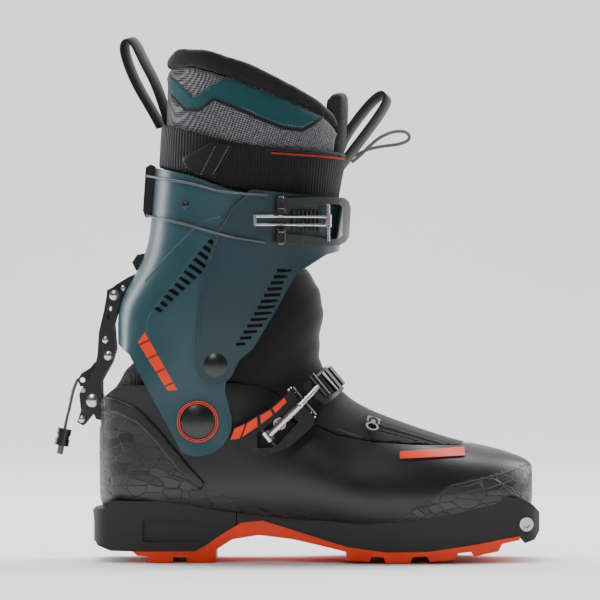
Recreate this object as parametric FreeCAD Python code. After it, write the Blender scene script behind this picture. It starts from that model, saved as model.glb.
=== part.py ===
import FreeCAD, Part
import functools
import math
import os

# A right touring ski boot in millimetres.  X points to the toe, Z points up and the side with
# the buckles faces -Y.  The origin is on the ground straight below the ankle pivots.

# ---- driving dimensions --------------------------------------------------------------------
ANKLE_Z = 96.9              # height of the ankle pivot axis
ANKLE_HALF = 41.2           # half width of the shell's flat sides at the ankle
CUFF_GAP = 1.3              # space between the shell and the inside of the cuff arms
CUFF_WALL = 4.0
SHELL_WALL = 4.6
FLAP_WALL = 3.0
GAITER_WALL = 1.8
LINER_WALL = 9.0
FOOT_LINER_WALL = 6.0
LAYER_GAP = 0.4             # space between a soft layer and the next one out
SOLE_HALF = 32.0            # half width of the standard toe and heel of the sole
TOE_SOCKET_R = 2.5          # pin sockets of the toe fitting
TOE_SOCKET_DEPTH = 4.0
PIVOT_R = 6.0               # ankle rivet shank
RUN_GAP = 0.05              # radial clearance of a running fit
LEVER_PIN_R = 2.5           # pivots of the buckle and walk levers
STRAP_GROW = -2.6           # outer face of the power strap, from the outside of the cuff
FOOT_TOP_ANGLE = 27.0       # the foot's soft layers end at this angle above the ankle axis
LEASH_R = 1.1
LINER_CORD_R = 1.2

Y_AXIS = FreeCAD.Vector(0, 1, 0)
ANKLE = FreeCAD.Vector(0, 0, ANKLE_Z)
RECESS_X = -66.6           # flat recess at the back of the shell for the walk lever
RECESS_HALF = 16.0
PLATE_GAP = 0.7             # space between the spine fork and each plate of the walk lever
FORK_HALF = 8.4

# Leg shaft: height, rear x, front x, half width and squareness of the cuff's outer surface.
CUFF_HALF = ANKLE_HALF + CUFF_GAP + CUFF_WALL
SHAFT = [
    (66.0, -66.0, 56.0, CUFF_HALF, 6.0),
    (100.0, -66.0, 60.0, CUFF_HALF, 6.0),
    (128.0, -62.0, 74.0, CUFF_HALF + 0.4, 5.0),
    (154.0, -56.0, 90.0, CUFF_HALF + 1.8, 3.6),
    (177.0, -54.5, 93.0, CUFF_HALF + 2.8, 3.0),
    (194.0, -46.5, 93.0, CUFF_HALF + 3.3, 2.8),
    (212.0, -38.0, 93.5, CUFF_HALF + 3.8, 2.6),
    (236.0, -33.5, 97.0, CUFF_HALF + 4.8, 2.5),
    (260.0, -31.5, 101.0, CUFF_HALF + 5.8, 2.4),
    (285.0, -30.0, 106.0, CUFF_HALF + 6.3, 2.4),
    (310.0, -28.5, 109.0, CUFF_HALF + 6.8, 2.3),
    (340.0, -29.0, 111.0, CUFF_HALF + 7.0, 2.3),
    (366.0, -30.0, 112.0, CUFF_HALF + 7.0, 2.3),
]

# Foot: x, bottom z, top z, sideways centre, then half widths at the sole, at 30 %, 62 % and 88 %
# of the height.
FOOT = [
    (-69.0, 44.0, 150.0, 0.0, 6.0, 11.0, 11.5, 9.0),
    (-66.0, 38.0, 152.0, 0.0, 14.0, 20.0, 20.5, 16.0),
    (-58.0, 35.0, 154.0, 0.0, 24.0, 30.0, 29.5, 25.0),
    (-40.0, 34.0, 156.0, 0.0, 31.0, 37.5, 36.5, 33.0),
    (-12.0, 33.0, 156.0, 0.0, 34.0, ANKLE_HALF - 0.4, ANKLE_HALF - 0.2, 36.0),
    (20.0, 30.0, 155.0, 0.0, 34.0, ANKLE_HALF, ANKLE_HALF - 0.2, 35.0),
    (50.0, 27.0, 150.0, 0.5, 35.0, 44.0, 39.5, 28.0),
    (80.0, 24.0, 140.0, 1.5, 40.0, 50.0, 39.0, 24.0),
    (100.0, 23.0, 116.5, 2.5, 45.0, 53.5, 42.5, 26.0),
    (124.0, 22.5, 102.0, 3.5, 48.0, 55.5, 47.0, 30.0),
    (154.0, 23.0, 91.0, 4.5, 47.0, 55.0, 49.5, 33.0),
    (182.0, 27.0, 82.5, 5.0, 42.0, 50.0, 46.0, 31.0),
    (204.0, 31.0, 77.5, 4.5, 32.0, 40.5, 37.5, 25.0),
    (219.0, 34.0, 73.0, 3.5, 21.0, 29.0, 27.0, 18.0),
    (227.5, 36.5, 69.0, 2.5, 12.0, 17.0, 16.0, 11.0),
    (231.0, 39.5, 65.0, 2.0, 5.0, 8.0, 7.5, 5.0),
]

# Plan outline of the sole: x, half width, sideways centre.
SOLE = [
    (-72.9, 22.0, 0.0), (-68.0, 30.0, 0.0), (-50.0, 35.0, 0.0), (-15.0, 35.0, 0.0),
    (30.0, 31.5, 0.5), (60.0, 34.0, 1.5), (95.0, 44.0, 3.0), (130.0, 50.0, 4.0),
    (165.0, 48.5, 4.0), (195.0, 41.0, 3.0), (214.0, SOLE_HALF + 0.5, 1.0),
    (228.0, SOLE_HALF - 2.5, 0.0), (235.0, 22.0, 0.0),
]

# Seen from the side: the edge between the shell and the fabric gaiter, heel to toe.
SHELL_EDGE = [(26, 123), (35.7, 121.5), (43, 120.5), (55.3, 114), (68, 104), (80.8, 94),
              (95.5, 87.2), (118.6, 82.8), (148, 80.4), (180, 79.8)]
MIDSOLE_BOTTOM = [(-41.9, 7.5), (-2.3, 7.5), (5, 11.3), (16, 19), (29.4, 27), (43.9, 28.5),
                  (72, 20), (102, 11), (129, 7.5), (158.6, 8), (190.4, 12.6), (221, 17.8)]


# ---- helpers -------------------------------------------------------------------------------
def vec(x, y, z):
    return FreeCAD.Vector(x, y, z)


def smooth_wire(points):
    """A closed smooth curve through the points."""
    curve = Part.BSplineCurve()
    curve.interpolate(Points=points, PeriodicFlag=True)
    return Part.Wire([curve.toShape()])


def interpolate(rows, key):
    """Straight-line lookup in rows sorted by their first column."""
    for low, high in zip(rows, rows[1:]):
        if key <= high[0]:
            break
    share = (key - low[0]) / (high[0] - low[0])
    return [a + (b - a) * share for a, b in zip(low, high)]


def signed_power(value, power):
    return math.copysign(abs(value) ** power, value)


def shaft_ring(row, grow):
    z, rear, front, half, square = row
    centre = (rear + front) / 2
    reach = (front - rear) / 2 + grow
    points = []
    for step in range(20):
        turn = 2 * math.pi * step / 20
        x = centre + reach * signed_power(math.cos(turn), 2 / square)
        points.append(vec(x, (half + grow) * signed_power(math.sin(turn), 2 / square), z))
    return smooth_wire(points)


@functools.cache
def shaft(grow):
    """The leg-shaped solid whose surface lies this far outside the cuff's outer surface."""
    rings = [shaft_ring(row, grow) for row in SHAFT]
    return Part.makeLoft(rings, True, False)


def shaft_side(x, z, grow):
    """Distance from the middle plane to the leg-shaped surface at x and z."""
    _, rear, front, half, square = interpolate(SHAFT, z)
    reach = (front - rear) / 2 + grow
    share = min(1.0, abs(x - (rear + front) / 2) / reach)
    return (half + grow) * (1 - share ** square) ** (1 / square)


def foot_ring(row, grow):
    x, low, high, centre, sole, lower, upper, crown = row
    middle = (FOOT[0][0] + FOOT[-1][0]) / 2
    half_length = FOOT[-1][0] - middle
    x = middle + (x - middle) * (1 + grow / half_length)
    low -= grow
    high += grow
    height = high - low
    widths = [(0.0, sole * 0.55), (0.05, sole), (0.3, lower), (0.62, upper), (0.88, crown)]
    right = []
    for share, width in widths:
        right.append((max(width + grow, 1.5), low + height * share))
    loop = [vec(x, centre + y, z) for y, z in right]
    loop.append(vec(x, centre, high))
    loop += [vec(x, centre - y, z) for y, z in reversed(right)]
    return smooth_wire(loop)


@functools.cache
def foot(grow):
    """The foot-shaped solid whose surface lies this far outside the shell."""
    return Part.makeLoft([foot_ring(row, grow) for row in FOOT], True, False)


def foot_side(x, z, side=-1):
    """Distance from the middle plane to the foot's surface on one side at x and z."""
    _, low, high, centre, sole, lower, upper, crown = interpolate(FOOT, x)
    share = (z - low) / (high - low)
    widths = [(0.0, sole), (0.3, lower), (0.62, upper), (0.88, crown), (1.0, 0.0)]
    return interpolate(widths, share)[1] + side * centre


def biggest(shape):
    return max(shape.Solids, key=lambda solid: solid.Volume)


def foot_skin(inner, outer, zone):
    """The layer between two foot-shaped surfaces, kept inside the zone."""
    return biggest(zone.common(foot(outer)).cut(foot(inner)))


def shaft_skin(inner, outer, zone):
    """The layer between two leg-shaped surfaces, kept inside the zone."""
    return biggest(zone.common(shaft(outer)).cut(shaft(inner)))


def side_prism(points, low_y, high_y):
    """A block with this side view, between two sideways positions."""
    corners = [vec(x, low_y, z) for x, z in points]
    face = Part.Face(Part.makePolygon(corners + corners[:1]))
    return face.extrude(vec(0, high_y - low_y, 0))


def wide_prism(points):
    return side_prism(points, -90, 90)


def plan_prism(grow, low, high):
    """The sole's plan outline as a block."""
    middle = (SOLE[0][0] + SOLE[-1][0]) / 2
    half_length = SOLE[-1][0] - middle
    left = []
    right = []
    for x, half, centre in SOLE:
        x = middle + (x - middle) * (1 + grow / half_length)
        left.append(vec(x, centre + half + grow, low))
        right.append(vec(x, centre - half - grow, low))
    outline = Part.Wire([smooth_wire(left + right[::-1]).Edges[0]])
    return Part.Face(outline).extrude(vec(0, 0, high - low))


def rod(start, end, radius):
    return Part.makeCylinder(radius, (end - start).Length, start, end - start)


def y_rod(x, z, low_y, high_y, radius):
    return Part.makeCylinder(radius, high_y - low_y, vec(x, low_y, z), Y_AXIS)


def dome(x, y, z, radius, height, side):
    """A low rounded cap that stands on the plane y and bulges towards side."""
    sphere_r = (radius ** 2 + height ** 2) / (2 * height)
    ball = Part.makeSphere(sphere_r, vec(x, y - side * (sphere_r - height), z))
    top = y_rod(x, z, min(y, y + side * height), max(y, y + side * height), radius)
    return ball.common(top)


def ring(x, z, low_y, high_y, outer, inner):
    return y_rod(x, z, low_y, high_y, outer).cut(y_rod(x, z, low_y - 1, high_y + 1, inner))


def cord_path(points):
    """Straight runs joined by arcs as large as the runs allow; also gives the arc radii."""
    edges = []
    radii = []
    last = points[0]
    for before, here, after in zip(points, points[1:], points[2:]):
        to_here = here - before
        to_next = after - here
        half_turn = to_here.getAngle(to_next) / 2
        trim = 0.45 * min(to_here.Length, to_next.Length)
        radii.append(trim / math.tan(half_turn))
        start = here - to_here.normalize() * trim
        end = here + to_next.normalize() * trim
        chord_middle = (start + end) / 2
        sagitta = radii[-1] * (1 - math.cos(half_turn))
        bulge = (here - chord_middle).normalize()
        edges.append(Part.LineSegment(last, start).toShape())
        edges.append(Part.Arc(start, chord_middle + bulge * sagitta, end).toShape())
        last = end
    edges.append(Part.LineSegment(last, points[-1]).toShape())
    return Part.Wire(edges), radii


def cord(points, radius, name=None):
    path, radii = cord_path(points)
    direction = points[1] - points[0]
    profile = Part.Wire([Part.makeCircle(radius, points[0], direction)])
    tube = path.makePipeShell([profile], True, False)
    if name:
        print(name, "radii", [round(r, 1) for r in radii], "length", round(path.Length, 1))
    return tube


def save(name, shape):
    shape.exportStep("parts/" + name + ".step")


NODES = {}


def add(name, shapes):
    shapes = shapes if isinstance(shapes, list) else [shapes]
    solids = []
    for shape in shapes:
        solids += shape.Solids
    NODES[name] = Part.makeCompound(solids) if len(solids) > 1 else solids[0]
    return NODES[name]


# ---- sole ----------------------------------------------------------------------------------
def make_sole():
    heel_profile = [(-71.5, 15), (-71.5, 28), (-73, 35.6), (-64.5, 36.8), (-60, 42), (26, 42),
                    (26, 25), (16, 19), (5, 11.3), (-2.3, 7.5), (-45, 7.5), (-60, 7.8),
                    (-69.5, 11.3)]
    heel = plan_prism(0, 0, 50).common(wide_prism(heel_profile)).cut(foot(0))
    insert_room = Part.makeBox(9, 28.4, 17.6, vec(-74, -14.2, 13.2))
    heel = heel.cut(insert_room)
    for side in (-1, 1):
        panel = Part.makeBox(38, 3, 15, vec(-38, side * 34.5 - 1.5, 14))
        heel = heel.cut(panel)
    add("heel_block", heel)

    insert = Part.makeBox(7.5, 27.6, 16.8, vec(-72.9, -13.8, 13.6))
    for side in (-1, 1):
        insert = insert.cut(Part.makeBox(3.4, 3.2, 20, vec(-73, side * 9 - 1.6, 10)))
    screws = []
    for y in (-4.5, 4.5):
        hole = Part.makeCylinder(2.0, 12, vec(-74, y, 22), vec(1, 0, 0))
        sink = Part.makeCylinder(3.4, 2.4, vec(-73.4, y, 22), vec(1, 0, 0))
        insert = insert.cut(hole).cut(sink)
        head = Part.makeCylinder(3.3, 1.7, vec(-72.7, y, 22), vec(1, 0, 0))
        socket = Part.makeCylinder(1.3, 1.2, vec(-73.0, y, 22), vec(1, 0, 0))
        shank = Part.makeCylinder(1.9, 5.0, vec(-71.1, y, 22), vec(1, 0, 0))
        screws.append(head.fuse(shank).cut(socket))
    add("heel_insert", insert)
    add("heel_insert_screws", screws)

    front = [(26.6, 42), (26.6, 25.8), (43.9, 28.5), (72, 20), (102, 11), (129, 7.5), (158.6, 8),
             (190.4, 12.6), (221, 17.8), (224.4, 12.8), (231.5, 15.2), (235, 21), (235, 34),
             (230.9, 38.5), (222, 44), (150, 42)]
    midsole = plan_prism(0, 0, 50).common(wide_prism(front)).cut(foot(0))
    bar = y_rod(225.6, 25.8, -SOLE_HALF, SOLE_HALF, 4.75)
    midsole = midsole.cut(bar)
    add("midsole", midsole)
    face_y = SOLE_HALF - 1.2
    fitting = y_rod(225.6, 25.8, -face_y, face_y, 4.75)
    for side in (-1, 1):
        low = face_y - TOE_SOCKET_DEPTH if side > 0 else -face_y - 0.01
        fitting = fitting.cut(y_rod(225.6, 25.8, low, low + TOE_SOCKET_DEPTH + 0.01, TOE_SOCKET_R))
    add("toe_fitting", fitting)

    tread = [(12, 0), (12.3, 8.5), (23.3, 15.5), (41.6, 18.5), (66, 15.6), (90.4, 10.2), (102, 7.5),
             (102, 1.7), (117.4, 1.2), (119, 4.6), (127, 4.2), (128.6, 0), (145, 0), (147, 4.4),
             (156.6, 4.8), (158.6, 1.1), (175.7, 2.2), (178, 6.6), (187, 7.6), (189, 4.4),
             (206, 7.4), (209, 12.6), (220.8, 15)]
    top = MIDSOLE_BOTTOM[1:]
    profile = [(-45, 7.5), (-41.9, 4.6), (-34.6, 4.2), (-34.6, 0), (-17.6, 0), (-16.6, 4.2),
               (-8.3, 4.2), (-7.3, 0)] + tread + top[::-1]
    outsole = plan_prism(0.8, -1, 40).common(wide_prism(profile))
    groove = Part.makeBox(330, 9, 4.6, vec(-80, -4.5, -1))
    outsole = outsole.cut(groove.common(Part.makeBox(68, 9, 9, vec(-80, -4.5, -1))))
    outsole = outsole.cut(Part.makeBox(130, 11, 6.5, vec(100, -1.5, -1)))
    add("outsole", biggest(outsole.cut(midsole).cut(heel).cut(foot(0))))


# ---- shell and what is inside it -----------------------------------------------------------
SHELL_PROFILE = [(-90, 20), (-90, 100), (-74, 104), (-62, 116), (-56.5, 120.2), (-36.2, 121.6)] + \
    SHELL_EDGE + [(196, 81.5), (240, 81.5), (240, 20)]


def make_shell():
    shell = foot_skin(-SHELL_WALL, 0, wide_prism(SHELL_PROFILE))
    inner = ANKLE_HALF - SHELL_WALL + 0.1
    for side in (-1, 1):
        low = min(side * inner, side * ANKLE_HALF)
        shell = shell.fuse(y_rod(0, ANKLE_Z, low, low + ANKLE_HALF - inner, 17))
    shell = shell.cut(Part.makeBox(20, 2 * RECESS_HALF, 60, vec(RECESS_X - 20, -RECESS_HALF, 92)))
    shell = shell.cut(y_rod(0, ANKLE_Z, -60, 60, PIVOT_R - 1.0))
    add("lower_shell", biggest(shell))


def make_ankle_rivets():
    rivets = []
    rings = []
    inner = ANKLE_HALF - SHELL_WALL + 1.7
    cuff_face = CUFF_HALF
    for side in (-1, 1):
        near = min(side * (inner - 1.6), side * (cuff_face + 0.9))
        far = max(side * (inner - 1.6), side * (cuff_face + 0.9))
        thin = y_rod(0, ANKLE_Z, near, far, PIVOT_R - 1.02)
        barrel_low = min(side * (ANKLE_HALF + 0.3), side * (cuff_face + 0.9))
        barrel_high = max(side * (ANKLE_HALF + 0.3), side * (cuff_face + 0.9))
        barrel = y_rod(0, ANKLE_Z, barrel_low, barrel_high, PIVOT_R)
        cap = dome(0, side * (cuff_face + 0.7), ANKLE_Z, 11.7, 2.4, side)
        rivets.append(thin.fuse(barrel).fuse(cap).removeSplitter())
        low = min(side * (cuff_face - 1.4), side * (cuff_face + 1.5))
        high = max(side * (cuff_face - 1.4), side * (cuff_face + 1.5))
        rings.append(ring(0, ANKLE_Z, low, high, 14.2, 12.2))
    add("ankle_rivets", rivets)
    add("ankle_rings", rings)


def make_inner_foot():
    board_top = [(-80, 52), (-10, 49), (60, 38), (110, 33.5), (160, 34), (200, 39), (240, 46)]
    board = foot(-SHELL_WALL - LAYER_GAP).common(wide_prism([(-80, 0)] + board_top + [(240, 0)]))
    add("boot_board", board)
    liner_outer = foot(-SHELL_WALL - LAYER_GAP)
    liner_inner = foot(-SHELL_WALL - LAYER_GAP - FOOT_LINER_WALL)
    above = wide_prism([(x, z + LAYER_GAP) for x, z in board_top] + [(240, 170), (-80, 170)])
    foot_zone = y_rod(0, ANKLE_Z, -90, 90, 47.5)
    foot_zone = foot_zone.fuse(wide_prism([(-90, 20), (-90, 112), (-40, 112), (-20, 90),
                                           (20, 96), (60, 108), (98, 120), (240, 120), (240, 20)]))
    toe_top = wide_prism([(-80, 20), (-80, 150), (82, 150), (240, 92), (240, 20)])
    leg_room = shaft(-CUFF_WALL - CUFF_GAP - SHELL_WALL - LAYER_GAP - FOOT_LINER_WALL)
    leg_room = leg_room.common(Part.makeBox(92, 90, 70, vec(-52, -45, 100)))
    shell_liner = liner_outer.cut(liner_inner).common(above).common(foot_zone).common(toe_top)
    shell_liner = shell_liner.cut(leg_room)
    add("liner_foot", shell_liner)
    bed = foot(-SHELL_WALL - 2 * LAYER_GAP - FOOT_LINER_WALL)
    lift = [(x, z + 6.5) for x, z in board_top]
    bed = bed.common(wide_prism(lift + [(x, z + 11.0) for x, z in reversed(board_top)]))
    add("footbed", bed)


ZIP_X = (114.0, 172.0)
ZIP_Y = -24.0
ZIP_HALF = 4.4


def zip_strip(half):
    return Part.makeBox(ZIP_X[1] - ZIP_X[0], 2 * half, 60, vec(ZIP_X[0], ZIP_Y - half, 70))


def make_gaiter_foot():
    top_edge = [(55.3, 114.4), (68, 104.4), (80.8, 94.4), (95.5, 87.6), (118.6, 83.2),
                (148, 80.8), (180, 80.2), (192, 81.6)]
    angle = math.radians(FOOT_TOP_ANGLE)
    reach = 130
    tip = (reach * math.cos(angle), ANKLE_Z + reach * math.sin(angle))
    root = (60 * math.cos(angle), ANKLE_Z + 60 * math.sin(angle))
    zone = wide_prism(top_edge + [(200, 120), tip, root])
    gaiter = foot_skin(-0.3 - GAITER_WALL, -0.3, zone)
    tape = foot_skin(-0.3 - GAITER_WALL, -0.3, zip_strip(ZIP_HALF).common(zone))
    add("gaiter_lower", biggest(gaiter.cut(zip_strip(ZIP_HALF + 0.05))))
    add("zip_tape", tape)


# ---- instep buckle -------------------------------------------------------------------------
INSTEP_HINGE = vec(70.9, -44.0, 109.2)
INSTEP_AXIS = vec(0.638, 0, -0.770).normalize()
INSTEP_TILT = 4.0           # degrees that the lever stands off the shell
INSTEP_BAND_HALF = 10.0
HOOK_END = vec(83.0, -37.0, 121.5)


def along_band(x, z, half, reach_back, reach_front):
    """Side-view corners of a strip through a point, square to the instep hinge."""
    run = vec(0.770, 0, 0.638)
    side = vec(0.638, 0, -0.770)
    centre = vec(x, 0, z)
    corners = []
    for step, across in ((-reach_back, -half), (-reach_back, half), (reach_front, half),
                         (reach_front, -half)):
        point = centre + run * step + side * across
        corners.append((point.x, point.z))
    return corners


def make_instep_buckle():
    band = foot_skin(0.35, 2.7, side_prism(along_band(76, 111, INSTEP_BAND_HALF, 34, 36), -31, 90))
    base = foot_skin(0.35, 2.2, side_prism(along_band(66, 105.5, 12.5, 14, 13), -90, -31.5))
    ears = []
    for share in (-1, 1):
        middle = INSTEP_HINGE + INSTEP_AXIS * (share * 10.6)
        tall = side_prism(along_band(middle.x, middle.z, 1.7, 3.6, 3.6), INSTEP_HINGE.y, -20)
        cap = rod(middle - INSTEP_AXIS * 1.7, middle + INSTEP_AXIS * 1.7, 3.6)
        ears.append(tall.fuse(cap).cut(foot(0.35)))
    for ear in ears:
        base = base.fuse(ear)
    base = biggest(base)
    pin = rod(INSTEP_HINGE - INSTEP_AXIS * 13.4, INSTEP_HINGE + INSTEP_AXIS * 13.4, 1.8)
    base = base.cut(pin)
    rivets = []
    for x, z, side in ((56.0, 95.5, -1), (52.5, 91.5, 1)):
        face = foot_side(x, z, side)
        for low, high, radius in ((face - 3.4, face + 3.0, 2.2), (face + 3.0, face + 4.6, 4.4)):
            start = min(side * low, side * high)
            part = y_rod(x, z, start, start + high - low, radius)
            rivets.append(part if radius < 3 else rivets.pop().fuse(part))
    for rivet in rivets:
        base = base.cut(rivet)
        band = band.cut(rivet)
        NODES["lower_shell"] = NODES["lower_shell"].cut(rivet)
    add("instep_buckle_base", base)
    add("instep_rivets", rivets + [pin])
    add("instep_band", biggest(band))

    rack = foot_skin(3.1, 8.6, side_prism(along_band(93, 126, 8.0, 13, 14), -30, -8))
    for step in range(8):
        groove = along_band(93 + 0.770 * (step * 3.2 - 11), 126 + 0.638 * (step * 3.2 - 11), 12,
                            0.7, 0.7)
        rack = rack.cut(side_prism(groove, -40, 0).cut(foot(6.6)))
    add("instep_ladder", biggest(rack))

    outline = [(59.4, 114.6), (62.9, 118.0), (67.0, 113.6), (75.0, 104.0), (79.6, 98.2),
               (79.0, 94.8), (72.6, 88.2), (62, 79.2), (47.6, 73.6), (33, 75.2), (24.4, 80.6),
               (21.4, 84.5), (24.4, 92.6), (33, 96.4), (41, 101.2), (50, 106.2)]
    low = INSTEP_HINGE.y - 5.4
    plate = side_prism(outline, low, low + 3.6)
    window = side_prism([(40.6, 78.6), (53, 79.6), (68.5, 96.4), (62, 103.4), (53, 98.4),
                         (40.0, 88.4)],
                        low - 1, low + 5)
    plate = plate.cut(window)
    barrel = rod(INSTEP_HINGE - INSTEP_AXIS * 8.5, INSTEP_HINGE + INSTEP_AXIS * 8.5, 3.6)
    room = rod(INSTEP_HINGE - INSTEP_AXIS * 20, INSTEP_HINGE + INSTEP_AXIS * 20, 4.2)
    lever = plate.cut(room).fuse(barrel)
    neck = side_prism(along_band(66.5, 105.5, 8.4, 4.5, 4.5), low, low + 4.2)
    lever = lever.fuse(neck.cut(rod(INSTEP_HINGE - INSTEP_AXIS * 20,
                                    INSTEP_HINGE + INSTEP_AXIS * 20, 2.5)))
    lever = lever.cut(rod(INSTEP_HINGE - INSTEP_AXIS * 20, INSTEP_HINGE + INSTEP_AXIS * 20,
                          1.8 + RUN_GAP))
    marks = []
    for corners in (((22.0, 84.4), (24.9, 92.0), (32.2, 95.2), (28.4, 85.2)),
                    ((33.5, 95.8), (40.2, 100.0), (40.6, 93.4), (30.2, 86.4)),
                    ((42.4, 100.8), (49.4, 105.0), (51.0, 101.4), (43.0, 95.2)),
                    ((50.8, 106.0), (59.0, 113.2), (60.4, 110.0), (52.8, 102.6))):
        strip = side_prism(list(corners), low - 0.5, low + 0.8)
        marks.append(strip)
        lever = lever.cut(strip)
    pivot = vec(47.9, low + 1.8, 86.8)
    cross = rod(pivot - INSTEP_AXIS * 9.5, pivot + INSTEP_AXIS * 11.5, 1.6)
    lever = lever.fuse(cross)
    shapes = [lever] + marks
    turned = []
    for shape in shapes:
        copy = shape.copy()
        copy.rotate(INSTEP_HINGE, INSTEP_AXIS, -INSTEP_TILT)
        turned.append(copy)
    lever = biggest(turned[0])
    add("instep_lever", lever)
    add("instep_lever_marks", turned[1:])

    mark_turn = FreeCAD.Rotation(INSTEP_AXIS, -INSTEP_TILT)
    pivot = INSTEP_HINGE + mark_turn.multVec(pivot - INSTEP_HINGE)
    print("instep arm pivot", [round(v, 3) for v in pivot])
    eye = rod(pivot - INSTEP_AXIS * 3.8, pivot + INSTEP_AXIS * 3.8, 3.0)
    high = vec(69.5, -54.6, 107.8)
    barrel = rod(pivot, high, 2.4)
    link = rod(high, HOOK_END, 1.9)
    joint = Part.makeSphere(2.4, high)
    arm = eye.fuse(barrel).fuse(joint).fuse(link)
    arm = arm.cut(rod(pivot - INSTEP_AXIS * 12, pivot + INSTEP_AXIS * 14, 1.6 + RUN_GAP))
    for step in range(6):
        start = pivot + (high - pivot) * (0.28 + 0.1 * step)
        end = pivot + (high - pivot) * (0.32 + 0.1 * step)
        arm = arm.fuse(rod(start, end, 2.8))
    add("instep_arm", arm)
    hook = rod(HOOK_END - INSTEP_AXIS * 9, HOOK_END + INSTEP_AXIS * 9, 2.6)
    hook = hook.cut(NODES["instep_arm"])
    add("instep_hook", biggest(hook))
    return pivot


# ---- cuff ----------------------------------------------------------------------------------
def arc_points(x, z, radius, start, end, count):
    points = []
    for step in range(count):
        angle = math.radians(start + (end - start) * step / (count - 1))
        points.append((x + radius * math.cos(angle), z + radius * math.sin(angle)))
    return points


FLAP_RIVET = (12.3, 135.6)
FLAP_BASE = 0.4


def make_cuff():
    profile = [(-60, 272.5), (-31, 271.5), (-4.4, 265), (19.2, 256), (60, 246), (62, 230),
               (50, 200), (38, 165), (28, 144), (20, 128), (18.4, 118)]
    profile += arc_points(0, ANKLE_Z, 23.6, 5, -118, 12)
    profile += [(-17.5, 88.0), (-47, 142.5), (-56, 150), (-70, 154)]
    cuff = shaft_skin(-CUFF_WALL, 0, wide_prism(profile))
    bore = y_rod(0, ANKLE_Z, -80, 80, PIVOT_R + RUN_GAP)
    cuff = cuff.cut(bore)
    for side in (-1, 1):
        low = min(side * (CUFF_HALF - 1.5), side * (CUFF_HALF + 6))
        cuff = cuff.cut(y_rod(0, ANKLE_Z, low, low + 7.5, 14.4))
    slits = []
    for step in range(12):
        share = step / 11
        x = -28.5 + 36.5 * share
        z = 173.5 + 46.0 * share
        length = 3.6 + 6.2 * share
        slits.append([(x - 1.6, z + 0.4), (x + length * 0.75, z - length * 0.62),
                      (x + length * 0.75 + 1.9, z - length * 0.62 + 1.4), (x + 0.6, z + 1.9)])
    for slit in slits:
        cuff = cuff.cut(wide_prism(slit).cut(shaft(-1.6)))
    add("cuff", biggest(cuff))

    outline = [(37.5, 255.3), (24, 243), (14, 226.5), (6, 203), (1.6, 182.4), (-1.2, 150)]
    outline += arc_points(FLAP_RIVET[0], FLAP_RIVET[1], 13.5, 190, 350, 9)
    outline += [(28.6, 139), (38, 147), (53, 172), (67.7, 198.7), (88.8, 212), (120, 219),
                (120, 249.5), (70, 252)]
    flap = shaft_skin(FLAP_BASE, FLAP_BASE + FLAP_WALL, wide_prism(outline))
    groove_floor = shaft(FLAP_BASE + FLAP_WALL - 1.2)
    for step in range(13):
        share = step / 12
        x = 26.5 + 31.5 * share
        z = 149 + 50 * share
        length = 6.0 + 5.0 * math.sin(math.pi * min(1.0, share * 1.2))
        bar = wide_prism([(x, z - 0.2), (x + length, z + 0.4), (x + length, z + 2.0),
                          (x, z + 1.6)])
        flap = flap.cut(bar.cut(groove_floor))
    flap = biggest(flap)

    rivets = []
    small = []
    for side in (-1, 1):
        x, z = FLAP_RIVET
        face = side * shaft_side(x, z, FLAP_BASE + FLAP_WALL)
        cap = dome(x, face + side * 0.3, z, 8.2, 2.2, side)
        skirt = y_rod(x, z, min(face + side * 0.3, face - side * 1.6),
                      max(face + side * 0.3, face - side * 1.6), 8.2)
        shank = y_rod(x, z, min(face, face - side * 8.2), max(face, face - side * 8.2), 3.0)
        rivets.append(cap.fuse(skirt).fuse(shank).removeSplitter())
        face = side * shaft_side(-7.8, 244.8, 0)
        shank = y_rod(-7.8, 244.8, min(face, face - side * 4), max(face, face - side * 4), 1.8)
        small.append(dome(-7.8, face - side * 0.2, 244.8, 3.2, 1.2, side).fuse(shank))
    for rivet in rivets + small:
        flap = flap.cut(rivet)
        NODES["cuff"] = NODES["cuff"].cut(rivet)
    add("cuff_flap", flap)
    add("flap_rivets", rivets)
    add("cuff_rivets", small)
    add("cuff_stripe", shaft_skin(-0.7, 0, side_prism([(-41, 151), (-36.2, 158), (-13.8, 118.6),
                                                       (-20.4, 118.0)], -90, 0)))
    NODES["cuff"] = NODES["cuff"].cut(NODES["cuff_stripe"])


EYE_SPANS = ((218.6, 225.6), (242.3, 249.4))


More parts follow.
